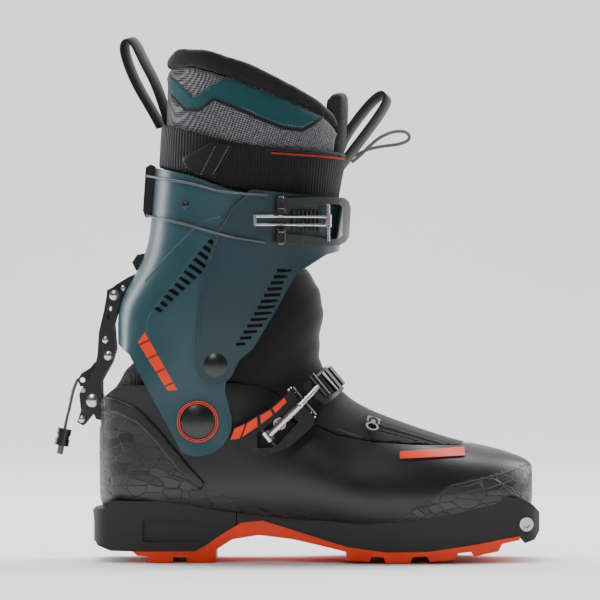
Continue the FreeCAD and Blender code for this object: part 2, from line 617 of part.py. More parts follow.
def make_cuff_buckle():
    base_grow = FLAP_BASE + FLAP_WALL + 0.05
    plate_zone = side_prism([(51, 219.5), (62, 218), (63, 250), (53, 251)], -90, 0)
    plate = shaft_skin(base_grow, base_grow + 1.8, plate_zone)
    hinge_x = 57.0
    hinge_y = -shaft_side(hinge_x, 233, base_grow + 5.9)
    ears = []
    pins = []
    for low in (226.4, 239.4):
        ear = Part.makeBox(6.8, 20, 2.2, vec(hinge_x - 3.4, hinge_y, low))
        ears.append(ear.fuse(Part.makeCylinder(3.4, 2.2, vec(hinge_x, hinge_y, low))).cut(
            shaft(base_grow)))
    for ear in ears:
        plate = plate.fuse(ear)
    for low, high in ((217.6, 228.6), (239.4, 250.4)):
        pins.append(Part.makeCylinder(2.0, high - low, vec(hinge_x, hinge_y, low)))
    for pin in pins:
        plate = plate.cut(pin)
    for low, high in EYE_SPANS:
        plate = plate.cut(Part.makeCylinder(3.95, high - low + 0.8,
                                            vec(hinge_x, hinge_y, low - 0.4)))
    add("cuff_buckle_base", biggest(plate))
    add("cuff_buckle_pins", pins)

    ladder_zone = side_prism([(65, 227), (84, 227.5), (84, 241), (65, 241)], -90, 0)
    ladder = shaft_skin(base_grow, base_grow + 2.8, ladder_zone)
    for step in range(6):
        x = 67.0 + 2.8 * step
        groove = side_prism([(x, 220), (x + 1.3, 220), (x + 1.3, 250), (x, 250)], -90, 0)
        ladder = ladder.cut(groove.cut(shaft(base_grow + 1.3)))
    add("cuff_ladder", biggest(ladder))

    frame_low = base_grow + 3.4
    outer = [(56.6, 249.1), (90, 250.6), (99, 250.2), (103.6, 247.6), (105, 243), (104, 224),
             (101.5, 220), (97, 217.6), (90, 216.8), (56.6, 218.7)]
    inner = [(50, 242.4), (70, 243.4), (90, 245.6), (97, 245.4), (99.6, 243), (98.8, 224.4),
             (96.5, 222), (90, 221.6), (72, 224.2), (50, 225.6)]
    frame_zone = side_prism(outer, -90, -12).cut(side_prism(inner, -91, 0))
    frame = shaft_skin(frame_low, frame_low + 3.2, frame_zone)
    for low, high in EYE_SPANS:
        eye = Part.makeCylinder(3.6, high - low, vec(hinge_x, hinge_y, low))
        frame = frame.fuse(eye)
    frame = frame.cut(Part.makeCylinder(2.0 + RUN_GAP, 60, vec(hinge_x, hinge_y, 205)))
    pin_x = 89.0
    pin_y = -shaft_side(pin_x, 233, frame_low + 1.4)
    cross = Part.makeCylinder(1.4, 27.0, vec(pin_x, pin_y, 220.0))
    frame = frame.cut(cross)
    add("cuff_buckle_lever", biggest(frame))
    add("cuff_lever_pin", cross)

    barrel = Part.makeCylinder(2.5, 8.4, vec(pin_x, pin_y, 229.8))
    wires = []
    for z in (231.2, 236.8):
        route = [vec(pin_x, pin_y, z)]
        for x in (78.0, 66.0, 53.0, 39.0):
            route.append(vec(x, -shaft_side(x, 233, frame_low + 1.4), z))
        wires.append(cord(route, 1.1))
    end = wires[0].fuse(wires[1])
    tip_y = -shaft_side(39.0, 233, frame_low + 1.4)
    loop = rod(vec(39.4, tip_y, 230.1), vec(39.4, tip_y, 237.9), 1.25)
    bail = barrel.fuse(end).fuse(loop)
    bail = bail.cut(Part.makeCylinder(1.4 + RUN_GAP, 40, vec(pin_x, pin_y, 215)))
    add("cuff_buckle_bail", biggest(bail))
    print("cuff hinge", hinge_x, round(hinge_y, 3), "bail pin", pin_x, round(pin_y, 3))


def make_cables():
    bracket = side_prism([(-30, 238), (-37.5, 237.6), (-39, 242), (-37, 272), (-33.5, 274),
                          (-29, 272)], -9, 9)
    bracket = bracket.cut(shaft(0.02))
    bracket = biggest(bracket)
    cables = []
    clear = 2.5
    over_flap = FLAP_BASE + FLAP_WALL + clear
    upper = [(-22, 262.5, clear + 1.4), (-4, 259.5, clear), (14, 254, clear + 0.4),
             (30, 252.2, over_flap + 1), (48, 251.4, over_flap)]
    lower = [(-24, 235.2, clear + 1.4), (-6, 231, clear), (9, 226.4, clear + 1.2),
             (24, 222.6, over_flap + 0.4), (46, 219.4, over_flap)]
    for start_z, rows in ((266.0, upper), (238.6, lower)):
        route = [vec(-36.0, -9.5, start_z)]
        for x, z, grow in rows:
            route.append(vec(x, -shaft_side(x, z, grow), z))
        cables.append(cord(route, 0.9))
        socket = rod(vec(-36.0, -4.0, start_z), vec(-36.0, -9.5, start_z), 1.6)
        cables[-1] = biggest(cables[-1].fuse(socket).cut(shaft(0.05)))
    for cable in cables:
        bracket = bracket.cut(cable)
    add("cable_bracket", biggest(bracket))
    add("cuff_cables", cables)


# ---- soft parts of the leg -----------------------------------------------------------------
LINER_GROW = -CUFF_WALL - 2.5
LINER_SPLIT = 47.5


def make_liner():
    top = [(-60, 333), (-26, 343.5), (-14.9, 353), (4.3, 352.3), (36.9, 341.5), (66.5, 326.7),
           (84.2, 316.3), (95, 306), (104, 293), (130, 278)]
    low = math.radians(58)
    back = math.radians(132)
    reach = 150
    body = [(reach * math.cos(low), ANKLE_Z + reach * math.sin(low)), (0, ANKLE_Z),
            (reach * math.cos(back), ANKLE_Z + reach * math.sin(back))]
    liner = shaft_skin(LINER_GROW - LINER_WALL, LINER_GROW, wide_prism(top + body))
    liner = liner.cut(y_rod(0, ANKLE_Z, -90, 90, LINER_SPLIT + 0.6))
    narrow = Part.makeBox(300, 2 * (ANKLE_HALF - SHELL_WALL - 1), 60, vec(-100, -ANKLE_HALF +
                                                                          SHELL_WALL + 1, 90))
    liner = liner.common(narrow.fuse(Part.makeBox(300, 160, 250, vec(-100, -80, 150))))
    tongue_zone = side_prism([(60, 216), (84, 316.5), (90, 322), (97, 325.5), (104, 324.5),
                              (108, 320.5), (112, 300), (112, 216)], -21, 21)
    tongue = shaft_skin(LINER_GROW - LINER_WALL - 0.5, LINER_GROW + 0.2,
                        tongue_zone.common(Part.makeBox(80, 42, 120, vec(62, -21, 212))))
    gap = Part.makeBox(90, 42.8, 200, vec(60, -21.4, 211.6))
    liner = liner.cut(gap)
    collar_low = [(-60, 336), (-22.3, 340), (-4.6, 341), (19.2, 333.6), (51.8, 321), (85.8, 306),
                  (97.7, 295), (130, 262)]
    band = wide_prism(collar_low + top[::-1])
    collar = biggest(liner.common(band))
    rest = liner.cut(band)
    add("liner_shaft", biggest(rest))
    add("liner_collar", collar)
    add("liner_tongue", tongue)

    gaiter_zone = wide_prism([(24, 152), (45, 166), (60, 178), (80, 190), (97, 204), (120, 232),
                              (60, 216), (24, 190)])
    add("gaiter_upper", shaft_skin(-CUFF_WALL - 0.3 - GAITER_WALL, -CUFF_WALL - 0.3, gaiter_zone))


def make_strap():
    low = [(-60, 273.6), (-31, 272.6), (-4.4, 266.1), (19.2, 257.1), (60, 247.7), (130, 246)]
    high = [(130, 279), (106, 280.5), (47, 284.5), (22, 288.5), (-9.6, 297.5), (-29, 303),
            (-60, 306)]
    strap = shaft_skin(LINER_GROW + 0.6, STRAP_GROW, wide_prism(low + high))
    patch_zone = [(-10.2, 277), (9.3, 287.3), (24.5, 286), (11.9, 263.3), (1.8, 265.4),
                  (-8.3, 271)]
    add("power_strap", strap)
    add("strap_patch", shaft_skin(STRAP_GROW, STRAP_GROW + 1.4, side_prism(patch_zone, -90, 0)))


def make_pull_loops():
    rear_out = [(-19.6, 318), (-28, 336), (-41.5, 357.5), (-46, 362), (-51, 362), (-54, 358.6),
                (-53.4, 352), (-43, 332), (-32.6, 312), (-24, 303.4)]
    rear_in = [(-24.0, 316), (-31, 332.5), (-45, 355.8), (-48, 358.6), (-50.6, 357), (-50, 351),
               (-40, 331.5), (-30, 312.6)]
    loop = side_prism(rear_out, -9, 9).cut(side_prism(rear_in, -10, 10))
    loop = loop.cut(shaft(LINER_GROW + 0.05))
    add("rear_pull_loop", biggest(loop))
    front_out = [(98, 300.5), (108, 306), (125, 326), (131, 326.6), (135.4, 321.5),
                 (129, 310), (114, 291), (104.5, 284)]
    front_in = [(107.5, 300.2), (113.5, 304.4), (127, 321.4), (130.6, 321), (130, 317.5),
                (122, 305.5), (112, 294)]
    loop = side_prism(front_out, -8, 8).cut(side_prism(front_in, -9, 9))
    loop = loop.cut(shaft(LINER_GROW + 0.3))
    add("front_pull_loop", biggest(loop))


# ---- spine and walk lever ------------------------------------------------------------------
LEVER_PIVOT = (-58.6, 183.3)
SPINE_PIN = (-71.0, 110.4)


def make_spine():
    fork = side_prism([(RECESS_X, 96), (-71.5, 97.5), (-74.4, 104), (-74.8, 112.6), (-71, 117.0),
                       (RECESS_X, 116)], -FORK_HALF, FORK_HALF)
    pin = y_rod(SPINE_PIN[0], SPINE_PIN[1], -FORK_HALF, FORK_HALF, 2.4)
    fork = biggest(fork.cut(pin))
    add("spine_fork", fork)
    add("spine_pin", pin)

    bracket = side_prism([(-44, 169), (-57, 171), (-62, 177), (-63, 186), (-58, 190.5),
                          (-49, 196), (-40, 200)], -FORK_HALF, FORK_HALF).cut(shaft(0.02))
    x, z = LEVER_PIVOT
    plate_face = FORK_HALF + PLATE_GAP
    pin = y_rod(x, z, -plate_face - 3.4, plate_face + 3.4, LEVER_PIN_R)
    heads = [dome(x, side * (plate_face + 3.4), z, 3.5, 1.3, side) for side in (-1, 1)]
    pin = pin.fuse(heads[0]).fuse(heads[1])
    bracket = bracket.cut(y_rod(x, z, -30, 30, LEVER_PIN_R))
    add("lever_bracket", biggest(bracket))
    add("lever_pivot_pin", pin)
    screws = []
    for side in (-1, 1):
        head = dome(-52.6, side * FORK_HALF, 188.0, 2.0, 0.5, side)
        shank = y_rod(-52.6, 188.0, min(side * FORK_HALF, side * (FORK_HALF - 4)),
                      max(side * FORK_HALF, side * (FORK_HALF - 4)), 1.4)
        screws.append(head.fuse(shank))
        NODES["lever_bracket"] = NODES["lever_bracket"].cut(screws[-1])
    add("bracket_screws", screws)
    adjuster = side_prism([(-34, 199), (-44, 200.5), (-46.5, 206), (-43, 211.5), (-34, 213)],
                          -7, 7).cut(shaft(0.02))
    adjuster = adjuster.cut(NODES["lever_bracket"])
    add("lean_adjuster", biggest(adjuster))


def make_walk_lever():
    plate_face = FORK_HALF + PLATE_GAP
    outline = [(-64.2, 182), (-63.6, 187), (-59, 189.2), (-54.5, 186.5), (-53.9, 180),
               (-58.8, 163.4), (-57.4, 146), (-60, 137), (-67.2, 124), (-67.2, 108),
               (-71.2, 103.8), (-74.4, 99.8), (-80.0, 93.0), (-84.4, 95.4), (-81.8, 103.3),
               (-83, 114.8),
               (-78.5, 123), (-72.4, 132), (-70.4, 142), (-69.4, 158), (-66, 172)]
    plates = []
    for low in (-plate_face - 2.8, plate_face):
        plate = side_prism(outline, low, low + 2.8)
        plate = plate.cut(y_rod(LEVER_PIVOT[0], LEVER_PIVOT[1], -40, 40, LEVER_PIN_R + RUN_GAP))
        plate = plate.cut(side_prism([(-64.4, 168), (-62.6, 176), (-60.4, 175), (-61.6, 166)],
                                     -40, 40))
        plates.append(plate)
    rivets = []
    spots = [(-62.6, 141.4, 2.3), (-64.5, 152.4, 1.6), (-81.0, 97.4, 1.6)]
    for x, z, radius in spots:
        shank = y_rod(x, z, -plate_face - 3.2, plate_face + 3.2, radius)
        for side in (-1, 1):
            shank = shank.fuse(dome(x, side * (plate_face + 3.2), z, radius + 0.9, 1.0, side))
        rivets.append(shank)
    for side in (-1, 1):
        cap = dome(-73.6, side * (plate_face + 3.2), 110.4, 4.6, 1.4, side)
        low = min(side * (plate_face + 0.6), side * (plate_face + 3.2))
        rivets.append(cap.fuse(y_rod(-73.6, 110.4, low, low + 2.6, 4.0)))
        low = min(side * (plate_face + 0.6), side * (plate_face + 3.4))
        rivets.append(y_rod(-80.2, 117.4, low, low + 2.8, 1.6))
    shapes = []
    for plate in plates:
        for rivet in rivets:
            plate = plate.cut(rivet)
        shapes.append(plate)
    add("walk_lever_plates", shapes)
    add("walk_lever_rivets", rivets)
    rack = side_prism([(-59.8, 157), (-63.4, 158.5), (-64.6, 166), (-62.8, 173.0), (-58.6, 171),
                       (-60.0, 164)], -plate_face, plate_face)
    add("lean_rack", rack)

    anchor = side_prism([(-76.4, 120.0), (-82.8, 120.0), (-84.6, 124.6), (-82, 129.0),
                         (-75.6, 133), (-72.6, 137.0), (-70.8, 135), (-75.0, 128)], -2.2, 2.2)
    anchor = anchor.cut(y_rod(-81.2, 124.4, -5, 5, 1.8))
    bridge = y_rod(-76.8, 125.6, -plate_face, plate_face, 1.7)
    add("leash_anchor", anchor.fuse(bridge))


LEASH_ROUTE = [(-84.4, 0.0, 125.4), (-87.2, -0.6, 119.4), (-88.8, -0.4, 112.6),
               (-90.4, 0.4, 105.0), (-92.4, 0.6, 97.6), (-93.6, 0.2, 90.6)]
LINER_CORD_ROUTE = [(105.6, -9.0, 275.4), (111.4, -9.4, 279.6), (118.6, -8.6, 287.4),
                    (126.6, -6.6, 293.8), (136.2, -3.8, 297.4), (144.6, -0.6, 297.0),
                    (146.8, 2.2, 291.6), (139.4, 4.4, 288.4), (129.0, 6.0, 287.4),
                    (118.4, 7.4, 285.6), (111.0, 8.2, 282.0), (106.2, 8.4, 280.2)]


def make_cords():
    route = [vec(*point) for point in LEASH_ROUTE]
    leash = cord(route, LEASH_R, "leash")
    add("leash_cord", leash)
    end = route[-1]
    down = (vec(-95.8, 0, 80.0) - end).normalize()
    body = rod(end, end + down * 12.0, 5.0)
    waist = rod(end + down * 4.6, end + down * 7.2, 5.4).cut(
        rod(end + down * 4.5, end + down * 7.3, 4.3))
    add("cord_toggle", body.cut(waist))
    knot_start = end + down * 12.0
    add("leash_knot", rod(knot_start, knot_start + down * 6.0, 2.2))
    route = [vec(*point) for point in LINER_CORD_ROUTE]
    add("liner_cord", cord(route, LINER_CORD_R, "liner cord"))


def foot_top(x, y):
    """The point of the foot's surface straight above x and y."""
    hit = foot(0).common(Part.makeLine(vec(x, y, 60), vec(x, y, 160)))
    return vec(x, y, hit.BoundBox.ZMax)


def make_zip():
    start = foot_top(120, ZIP_Y)
    along = (foot_top(136, ZIP_Y) - start).normalize()
    side = (foot_top(120, ZIP_Y - 4) - foot_top(120, ZIP_Y + 2)).normalize()
    normal = side.cross(along).normalize()
    if normal.z < 0:
        normal = -normal
    side = (side - along * side.dot(along)).normalize()

    def block(centre, length, width, low, high):
        corners = []
        for step, across in ((-1, -1), (1, -1), (1, 1), (-1, 1)):
            corners.append(centre + along * (step * length / 2) + side * (across * width / 2)
                           + normal * low)
        face = Part.Face(Part.makePolygon(corners + corners[:1]))
        return face.extrude(normal * (high - low))

    body = block(start, 9.0, 6.4, 0.6, 2.7)
    hinge = start + normal * 4.3 + side * 1.0
    posts = [block(start + side * 1.0 + along * shift, 1.2, 1.8, 2.6, 4.9) for shift in (-2.6, 2.6)]
    slider = body.fuse(posts[0]).fuse(posts[1])
    slider = slider.fuse(rod(hinge - along * 2.7, hinge + along * 2.7, 0.8))
    add("zip_slider", biggest(slider))
    eye = rod(hinge - along * 1.5, hinge + along * 1.5, 1.3)
    ring_centre = hinge + side * 9.2 - normal * 0.2
    hoop = Part.makeCylinder(4.6, 1.4, ring_centre - normal * 0.7, normal)
    hoop = hoop.cut(Part.makeCylinder(3.1, 4, ring_centre - normal * 2, normal))
    tab = block(hinge - normal * 0.9 + side * 3.2, 2.6, 4.4, 0.0, 1.4)
    pull = eye.fuse(tab).fuse(hoop)
    pull = pull.cut(rod(hinge - along * 9, hinge + along * 9, 0.8 + RUN_GAP))
    add("zip_pull", biggest(pull))
    print("zip slide axis", [round(v, 4) for v in along])
    print("zip pull hinge", [round(v, 3) for v in hinge])


def make_toe_tag():
    tag = foot(0.9).cut(foot(0.05))
    zone = [(138.2, 71.5), (138.2, 76.4), (183.2, 79.0), (183.2, 73.4)]
    add("toe_tag", max(tag.common(side_prism(zone, -90, 0)).Solids,
                       key=lambda solid: solid.Volume))


make_sole()
make_shell()
make_inner_foot()
make_gaiter_foot()
make_instep_buckle()
make_cuff()
make_ankle_rivets()
make_cuff_buckle()
make_cables()
make_liner()
make_strap()
make_pull_loops()
make_spine()
make_walk_lever()
make_cords()
make_zip()
make_toe_tag()

os.makedirs("parts", exist_ok=True)
for node, shape in NODES.items():
    save(node, shape)
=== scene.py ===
# %% [markdown]
# # A touring ski boot
#
# The hard parts (shell, cuff, buckles, sole and walk lever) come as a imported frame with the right
# shapes and joints.  This lesson gives them their finishes and makes the soft parts: the padded
# liner, the gaiter that crosses the ankle, the power strap, the webbing loops and two thin cords.

# %% load the frame
import math

import bmesh
import bpy
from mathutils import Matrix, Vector
from mathutils.bvhtree import BVHTree
from mathutils.geometry import delaunay_2d_cdt


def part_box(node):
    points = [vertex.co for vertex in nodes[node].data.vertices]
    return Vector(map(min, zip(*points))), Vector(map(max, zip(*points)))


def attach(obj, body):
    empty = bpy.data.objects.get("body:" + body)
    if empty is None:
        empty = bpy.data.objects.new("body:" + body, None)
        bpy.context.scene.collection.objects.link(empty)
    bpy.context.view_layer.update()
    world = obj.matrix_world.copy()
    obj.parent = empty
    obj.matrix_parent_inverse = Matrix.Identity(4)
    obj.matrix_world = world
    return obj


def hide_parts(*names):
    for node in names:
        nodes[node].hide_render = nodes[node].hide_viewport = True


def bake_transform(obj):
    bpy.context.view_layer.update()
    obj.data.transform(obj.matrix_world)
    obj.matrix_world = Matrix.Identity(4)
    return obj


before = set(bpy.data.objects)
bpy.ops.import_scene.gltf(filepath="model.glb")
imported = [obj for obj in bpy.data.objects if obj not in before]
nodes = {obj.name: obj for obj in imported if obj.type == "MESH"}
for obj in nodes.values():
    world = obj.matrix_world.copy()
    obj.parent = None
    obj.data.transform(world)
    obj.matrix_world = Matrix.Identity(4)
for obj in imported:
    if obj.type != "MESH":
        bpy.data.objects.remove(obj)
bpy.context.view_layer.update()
MM = 0.001

# %% [markdown]
# ## Camera, light and floor
#
# The boot is seen straight from the side with the buckles.  A long lens from far away keeps the
# sides parallel, and its focal length is worked out from the width that the picture takes in at
# the boot's near side.  Dark plastic shows its form only by what it reflects, so the lights are
# large soft panels: one over the top, one in front, a narrow one behind each edge, and one for
# the pale sweep of paper that is both floor and background.

# %% camera
ANKLE = Vector((0.0, 0.0, 0.0969))
VIEW_WIDTH = 0.410
DISTANCE = 2.6
SENSOR = 36.0
NEAR_SIDE = 0.045
MIDDLE = Vector((0.0699, 0.0, 0.180))

camera_data = bpy.data.cameras.new("camera")
camera_data.sensor_width = SENSOR
camera_data.lens = SENSOR * (DISTANCE - NEAR_SIDE) / VIEW_WIDTH
camera = bpy.data.objects.new("camera", camera_data)
camera.location = MIDDLE + Vector((0.0, -DISTANCE, 0.0))
camera.rotation_euler = (math.radians(90), 0.0, 0.0)
bpy.context.scene.collection.objects.link(camera)
bpy.context.scene.camera = camera
print("lens", round(camera_data.lens, 1), "mm")


# %% lights and floor
def panel(name, place, size, power, tint=(1.0, 1.0, 1.0)):
    """A soft light panel that faces the boot."""
    data = bpy.data.lights.new(name, "AREA")
    data.shape = "RECTANGLE"
    data.size, data.size_y = size
    data.energy = power
    data.color = tint
    lamp = bpy.data.objects.new(name, data)
    lamp.location = place
    aim = MIDDLE - Vector(place)
    lamp.rotation_euler = aim.to_track_quat("-Z", "Y").to_euler()
    bpy.context.scene.collection.objects.link(lamp)


PAPER_TILT = 42
panel("front", (-0.5, -1.5, 1.7), (0.7, 0.7), 13)
panel("top", (0.0, 0.3, 1.9), (1.6, 1.2), 24)
panel("toe_edge", (1.4, 0.7, 0.9), (0.6, 1.4), 22)
panel("heel_edge", (-1.4, 0.6, 0.8), (0.6, 1.4), 22)
panel("paper", (0.0, 0.6, 3.0), (3.0, 0.8), 90)
bpy.data.objects["paper"].rotation_euler = (math.radians(PAPER_TILT), 0.0, 0.0)

DIM = 0.10
BRIGHT = 2.2
world = bpy.data.worlds.new("studio")
world.use_nodes = True
wires = world.node_tree
sky = wires.nodes["Background"]
sky.inputs[0].default_value = (1.0, 1.0, 1.0, 1.0)
direction = wires.nodes.new("ShaderNodeTexCoord")
axes = wires.nodes.new("ShaderNodeSeparateXYZ")
level = wires.nodes.new("ShaderNodeMapRange")
level.interpolation_type = "SMOOTHSTEP"
for key, value in ((1, -0.2), (2, 0.8), (3, DIM), (4, BRIGHT)):
    level.inputs[key].default_value = value
wires.links.new(direction.outputs["Generated"], axes.inputs[0])
wires.links.new(axes.outputs["Y"], level.inputs[0])
wires.links.new(level.outputs[0], sky.inputs[1])
bpy.context.scene.world = world


def new_object(name, mesh):
    made = bpy.data.objects.new(name, mesh)
    bpy.context.scene.collection.objects.link(made)
    return made


STAGE_HALF = 6.0
STAGE_DROP = 0.0004
BEND_FROM = 1.4
BEND_R = 1.2
BEND_STEPS = 24
WALL_TOP = 4.5
profile = [(-STAGE_HALF, 0.0), (BEND_FROM, 0.0)]
for step in range(1, BEND_STEPS + 1):
    turn = math.pi / 2 * step / BEND_STEPS
    profile.append((BEND_FROM + BEND_R * math.sin(turn), BEND_R * (1 - math.cos(turn))))
profile.append((BEND_FROM + BEND_R, WALL_TOP))
stage_mesh = bpy.data.meshes.new("stage")
stage_points = [(x, y, z - STAGE_DROP) for y, z in profile for x in (-STAGE_HALF, STAGE_HALF)]
stage_faces = [(2 * i, 2 * i + 1, 2 * i + 3, 2 * i + 2) for i in range(len(profile) - 1)]
stage_mesh.from_pydata(stage_points, [], stage_faces)
for polygon in stage_mesh.polygons:
    polygon.use_smooth = True
stage = new_object("stage", stage_mesh)
paper = bpy.data.materials.new("paper")
paper.use_nodes = True
paper_inputs = paper.node_tree.nodes["Principled BSDF"].inputs
paper_inputs["Base Color"].default_value = (0.9, 0.9, 0.9, 1)
paper_inputs["Roughness"].default_value = 0.9
stage_mesh.materials.append(paper)
print(len(bpy.data.lights), "panels and a paper sweep")

# %% [markdown]
# ## A small language for finishes
#
# A finish is a Principled shader and a few nodes that vary its colour, roughness and bump.  Wiring
# nodes by hand is slow to read, so a socket is wrapped in a class whose arithmetic adds the Math
# nodes, and one method adds any other node.


# %% the shader helpers
class Value:
    """A number that varies over a surface."""

    def __init__(self, finish, socket):
        self.finish = finish
        self.socket = socket

    def math(self, operation, *others):
        return self.finish.node("Math", {"operation": operation}, self, *others)

    def __add__(self, other):
        return self.math("ADD", other)

    def __mul__(self, other):
        return self.math("MULTIPLY", other)

    def __sub__(self, other):
        return self.math("SUBTRACT", other)

    def __rsub__(self, other):
        return self.finish.node("Math", {"operation": "SUBTRACT"}, other, self)

    __radd__ = __add__
    __rmul__ = __mul__


def socket_name(key):
    return key.replace("_", " ").title().replace("Ior", "IOR")


class Finish:
    """A material whose inputs are set by name."""

    def __init__(self, name, color, roughness, **constants):
        self.material = bpy.data.materials.new(name)
        self.material.use_nodes = True
        self.tree = self.material.node_tree
        self.shader = self.tree.nodes["Principled BSDF"]
        self.color = color
        self.shader.inputs["Base Color"].default_value = (*color, 1.0)
        self.shader.inputs["Roughness"].default_value = roughness
        for key, value in constants.items():
            self.shader.inputs[socket_name(key)].default_value = value
        self.material.diffuse_color = (*color, 1.0)
        self.place = self.node("TexCoord", {}, output="Object")

    def node(self, kind, settings, *values, output=0, **named):
        made = self.tree.nodes.new("ShaderNode" + kind)
        for key, value in settings.items():
            setattr(made, key, value)
        pairs = list(enumerate(values)) + [(key.replace("_", " "), v) for key, v in named.items()]
        for key, value in pairs:
            socket = made.inputs[key]
            if isinstance(value, Value):
                self.tree.links.new(value.socket, socket)
            else:
                socket.default_value = value
        return Value(self, made.outputs[output])

    def feed(self, **values):
        for key, value in values.items():
            self.tree.links.new(value.socket, self.shader.inputs[socket_name(key)])

    def xyz(self):
        parts = self.node("SeparateXYZ", {}, self.place)
        owner = parts.socket.node
        return [Value(self, owner.outputs[axis]) for axis in "XYZ"]

    def noise(self, scale, detail=2.0, stretch=(1.0, 1.0, 1.0)):
        moved = self.node("Mapping", {}, self.place, Scale=stretch)
        return self.node("TexNoise", {}, Vector=moved, Scale=scale, Detail=detail)

    def step(self, value, low, high):
        """0 below low, 1 above high and smooth between."""
        return self.node("MapRange", {"interpolation_type": "SMOOTHSTEP"}, value, low, high,
                         0.0, 1.0)

    def blend_color(self, share, first, second):
        made = self.tree.nodes.new("ShaderNodeMix")
        made.data_type = "RGBA"
        self.tree.links.new(share.socket, made.inputs["Factor"])
        for key, value in ((6, first), (7, second)):
            if isinstance(value, Value):
                self.tree.links.new(value.socket, made.inputs[key])
            else:
                made.inputs[key].default_value = (*value, 1.0)
        return Value(self, made.outputs[2])

    def bump(self, height, distance, strength=1.0):
        normal = self.node("Bump", {}, Strength=strength, Distance=distance, Height=height)
        self.feed(normal=normal)

    def tone(self, spread, scale=35.0):
        """A slow change of the colour, from darker to lighter."""
        dark = [c * (1 - spread) for c in self.color]
        light = [min(1.0, c * (1 + spread)) for c in self.color]
        return self.blend_color(self.noise(scale), dark, light)


def dress(node_names, finish):
    """Gives CAD nodes a finish."""
    for name in node_names:
        mesh = nodes[name].data
        if not mesh.materials:
            mesh.materials.append(finish.material)
        for index in range(len(mesh.materials)):
            nodes[name].material_slots[index].material = finish.material


print("helpers ready")

# %% [markdown]
# ## Moulded plastics
#
# The shell is a satin black plastic.  Around the toe and the heel its mould is etched with a net of
# cracks, which ends at straight edges.  A Voronoi texture's distance to its cell edges gives that
# net, and masks made of straight lines in the side view say where it shows.  The orange ring round
# the ankle rivet is really two rings with a dark gap between, and dark bars cut the cuff's stripe.


# %% plastics
def line_share(finish, x, z, start, end, soft=1.5):
    """1 below or behind the line from start to end in the side view, 0 above or ahead."""
    run = Vector(end) - Vector(start)
    run.normalize()
    across = (z - start[1] * MM) * run.x - (x - start[0] * MM) * run.y
    return 1.0 - finish.step(across, -soft * MM, soft * MM)


CELLS = 135.0
ORANGE = (0.88, 0.040, 0.003)


def cracked_plastic():
    finish = Finish("cracked_shell", (0.0115, 0.0115, 0.0125), 0.36, specular_ior_level=0.5)
    x, _, z = finish.xyz()
    toe_low = line_share(finish, x, z, (126.8, 24), (172.7, 52.9), 2)
    toe_high = line_share(finish, x, z, (172.7, 52.9), (230.4, 67), 2)
    toe = toe_low.math("MINIMUM", toe_high)
    heel_slope = line_share(finish, x, z, (-63, 116), (-41.6, 101.4), 1.5)
    heel_back = line_share(finish, x, z, (-41.6, 101.4), (0, 48), 2)
    heel = heel_slope.math("MINIMUM", heel_back)
    low_side = line_share(finish, x, z, (-60, 58), (95, 30), 8)
    low_side = low_side * (1.0 - finish.step(x, 60 * MM, 110 * MM))
    zone = toe.math("MAXIMUM", heel).math("MAXIMUM", low_side)
    bent = finish.node("TexNoise", {}, Vector=finish.place, Scale=40.0, output="Color")
    warp = finish.node("VectorMath", {"operation": "MULTIPLY_ADD"}, bent, (0.006,) * 3,
                       finish.place)
    stretched = finish.node("Mapping", {}, warp, Scale=(0.62, 1.0, 1.3))
    edge = finish.node("TexVoronoi", {"feature": "DISTANCE_TO_EDGE"}, Vector=stretched,
                       Scale=CELLS)
    groove = (1.0 - finish.step(edge, 0.010, 0.042)) * zone
    cell = finish.node("TexVoronoi", {}, Vector=stretched, Scale=CELLS, output="Color")
    shade = finish.node("SeparateXYZ", {}, cell) * zone
    grain = finish.noise(2600.0, 1.0)
    body = finish.blend_color(shade * 0.8, finish.tone(0.15), (0.042, 0.042, 0.045))
    finish.feed(base_color=finish.blend_color(groove * 0.8, body, (0.036, 0.036, 0.038)))
    finish.feed(roughness=0.29 + finish.noise(60.0, 3.0) * 0.12 + groove * 0.2)
    finish.bump(grain * 0.05 - groove * 1.0 + shade * 0.25, 0.0006, 0.9)
    return finish


def satin_plastic(name, color, roughness=0.36, grain=0.06):
    finish = Finish(name, color, roughness, specular_ior_level=0.5)
    finish.feed(base_color=finish.tone(0.12, 22.0))
    finish.feed(roughness=roughness - 0.05 + finish.noise(45.0, 4.0) * 0.14)
    finish.bump(finish.noise(2400.0, 1.0) * grain + finish.noise(300.0) * 0.03, 0.0005, 0.7)
    return finish


shell_finish = cracked_plastic()
arm_finish = satin_plastic("arm_plastic", (0.0105, 0.0105, 0.0115), 0.34)
black_finish = satin_plastic("black_plastic", (0.0165, 0.0165, 0.0175), 0.42)
cuff_finish = satin_plastic("teal_plastic", (0.022, 0.066, 0.081), 0.31)
flap_finish = satin_plastic("dark_teal_plastic", (0.0110, 0.036, 0.046), 0.31)
orange_finish = satin_plastic("orange_plastic", ORANGE, 0.38)
dress(["lower_shell"], shell_finish)
dress(["cuff"], cuff_finish)
dress(["cuff_flap"], flap_finish)
dress(["instep_lever_marks", "toe_tag"], orange_finish)
dress(["boot_board", "instep_band"], black_finish)
BAR_PITCH = 11.0


def ringed_plastic():
    """Two orange circles with a dark gap, by distance from the ankle axis."""
    finish = Finish("ringed_plastic", ORANGE, 0.36)
    x, _, z = finish.xyz()
    height = z - ANKLE.z
    away = (x * x + height * height).math("SQRT")
    past_inner = finish.step(away, 12.75 * MM, 12.85 * MM)
    past_gap = finish.step(away, 13.5 * MM, 13.6 * MM)
    gap = past_inner * (1.0 - past_gap)
    finish.feed(base_color=finish.blend_color(gap, ORANGE, (0.012, 0.018, 0.020)))
    finish.feed(roughness=0.3 + finish.noise(200.0) * 0.12)
    return finish


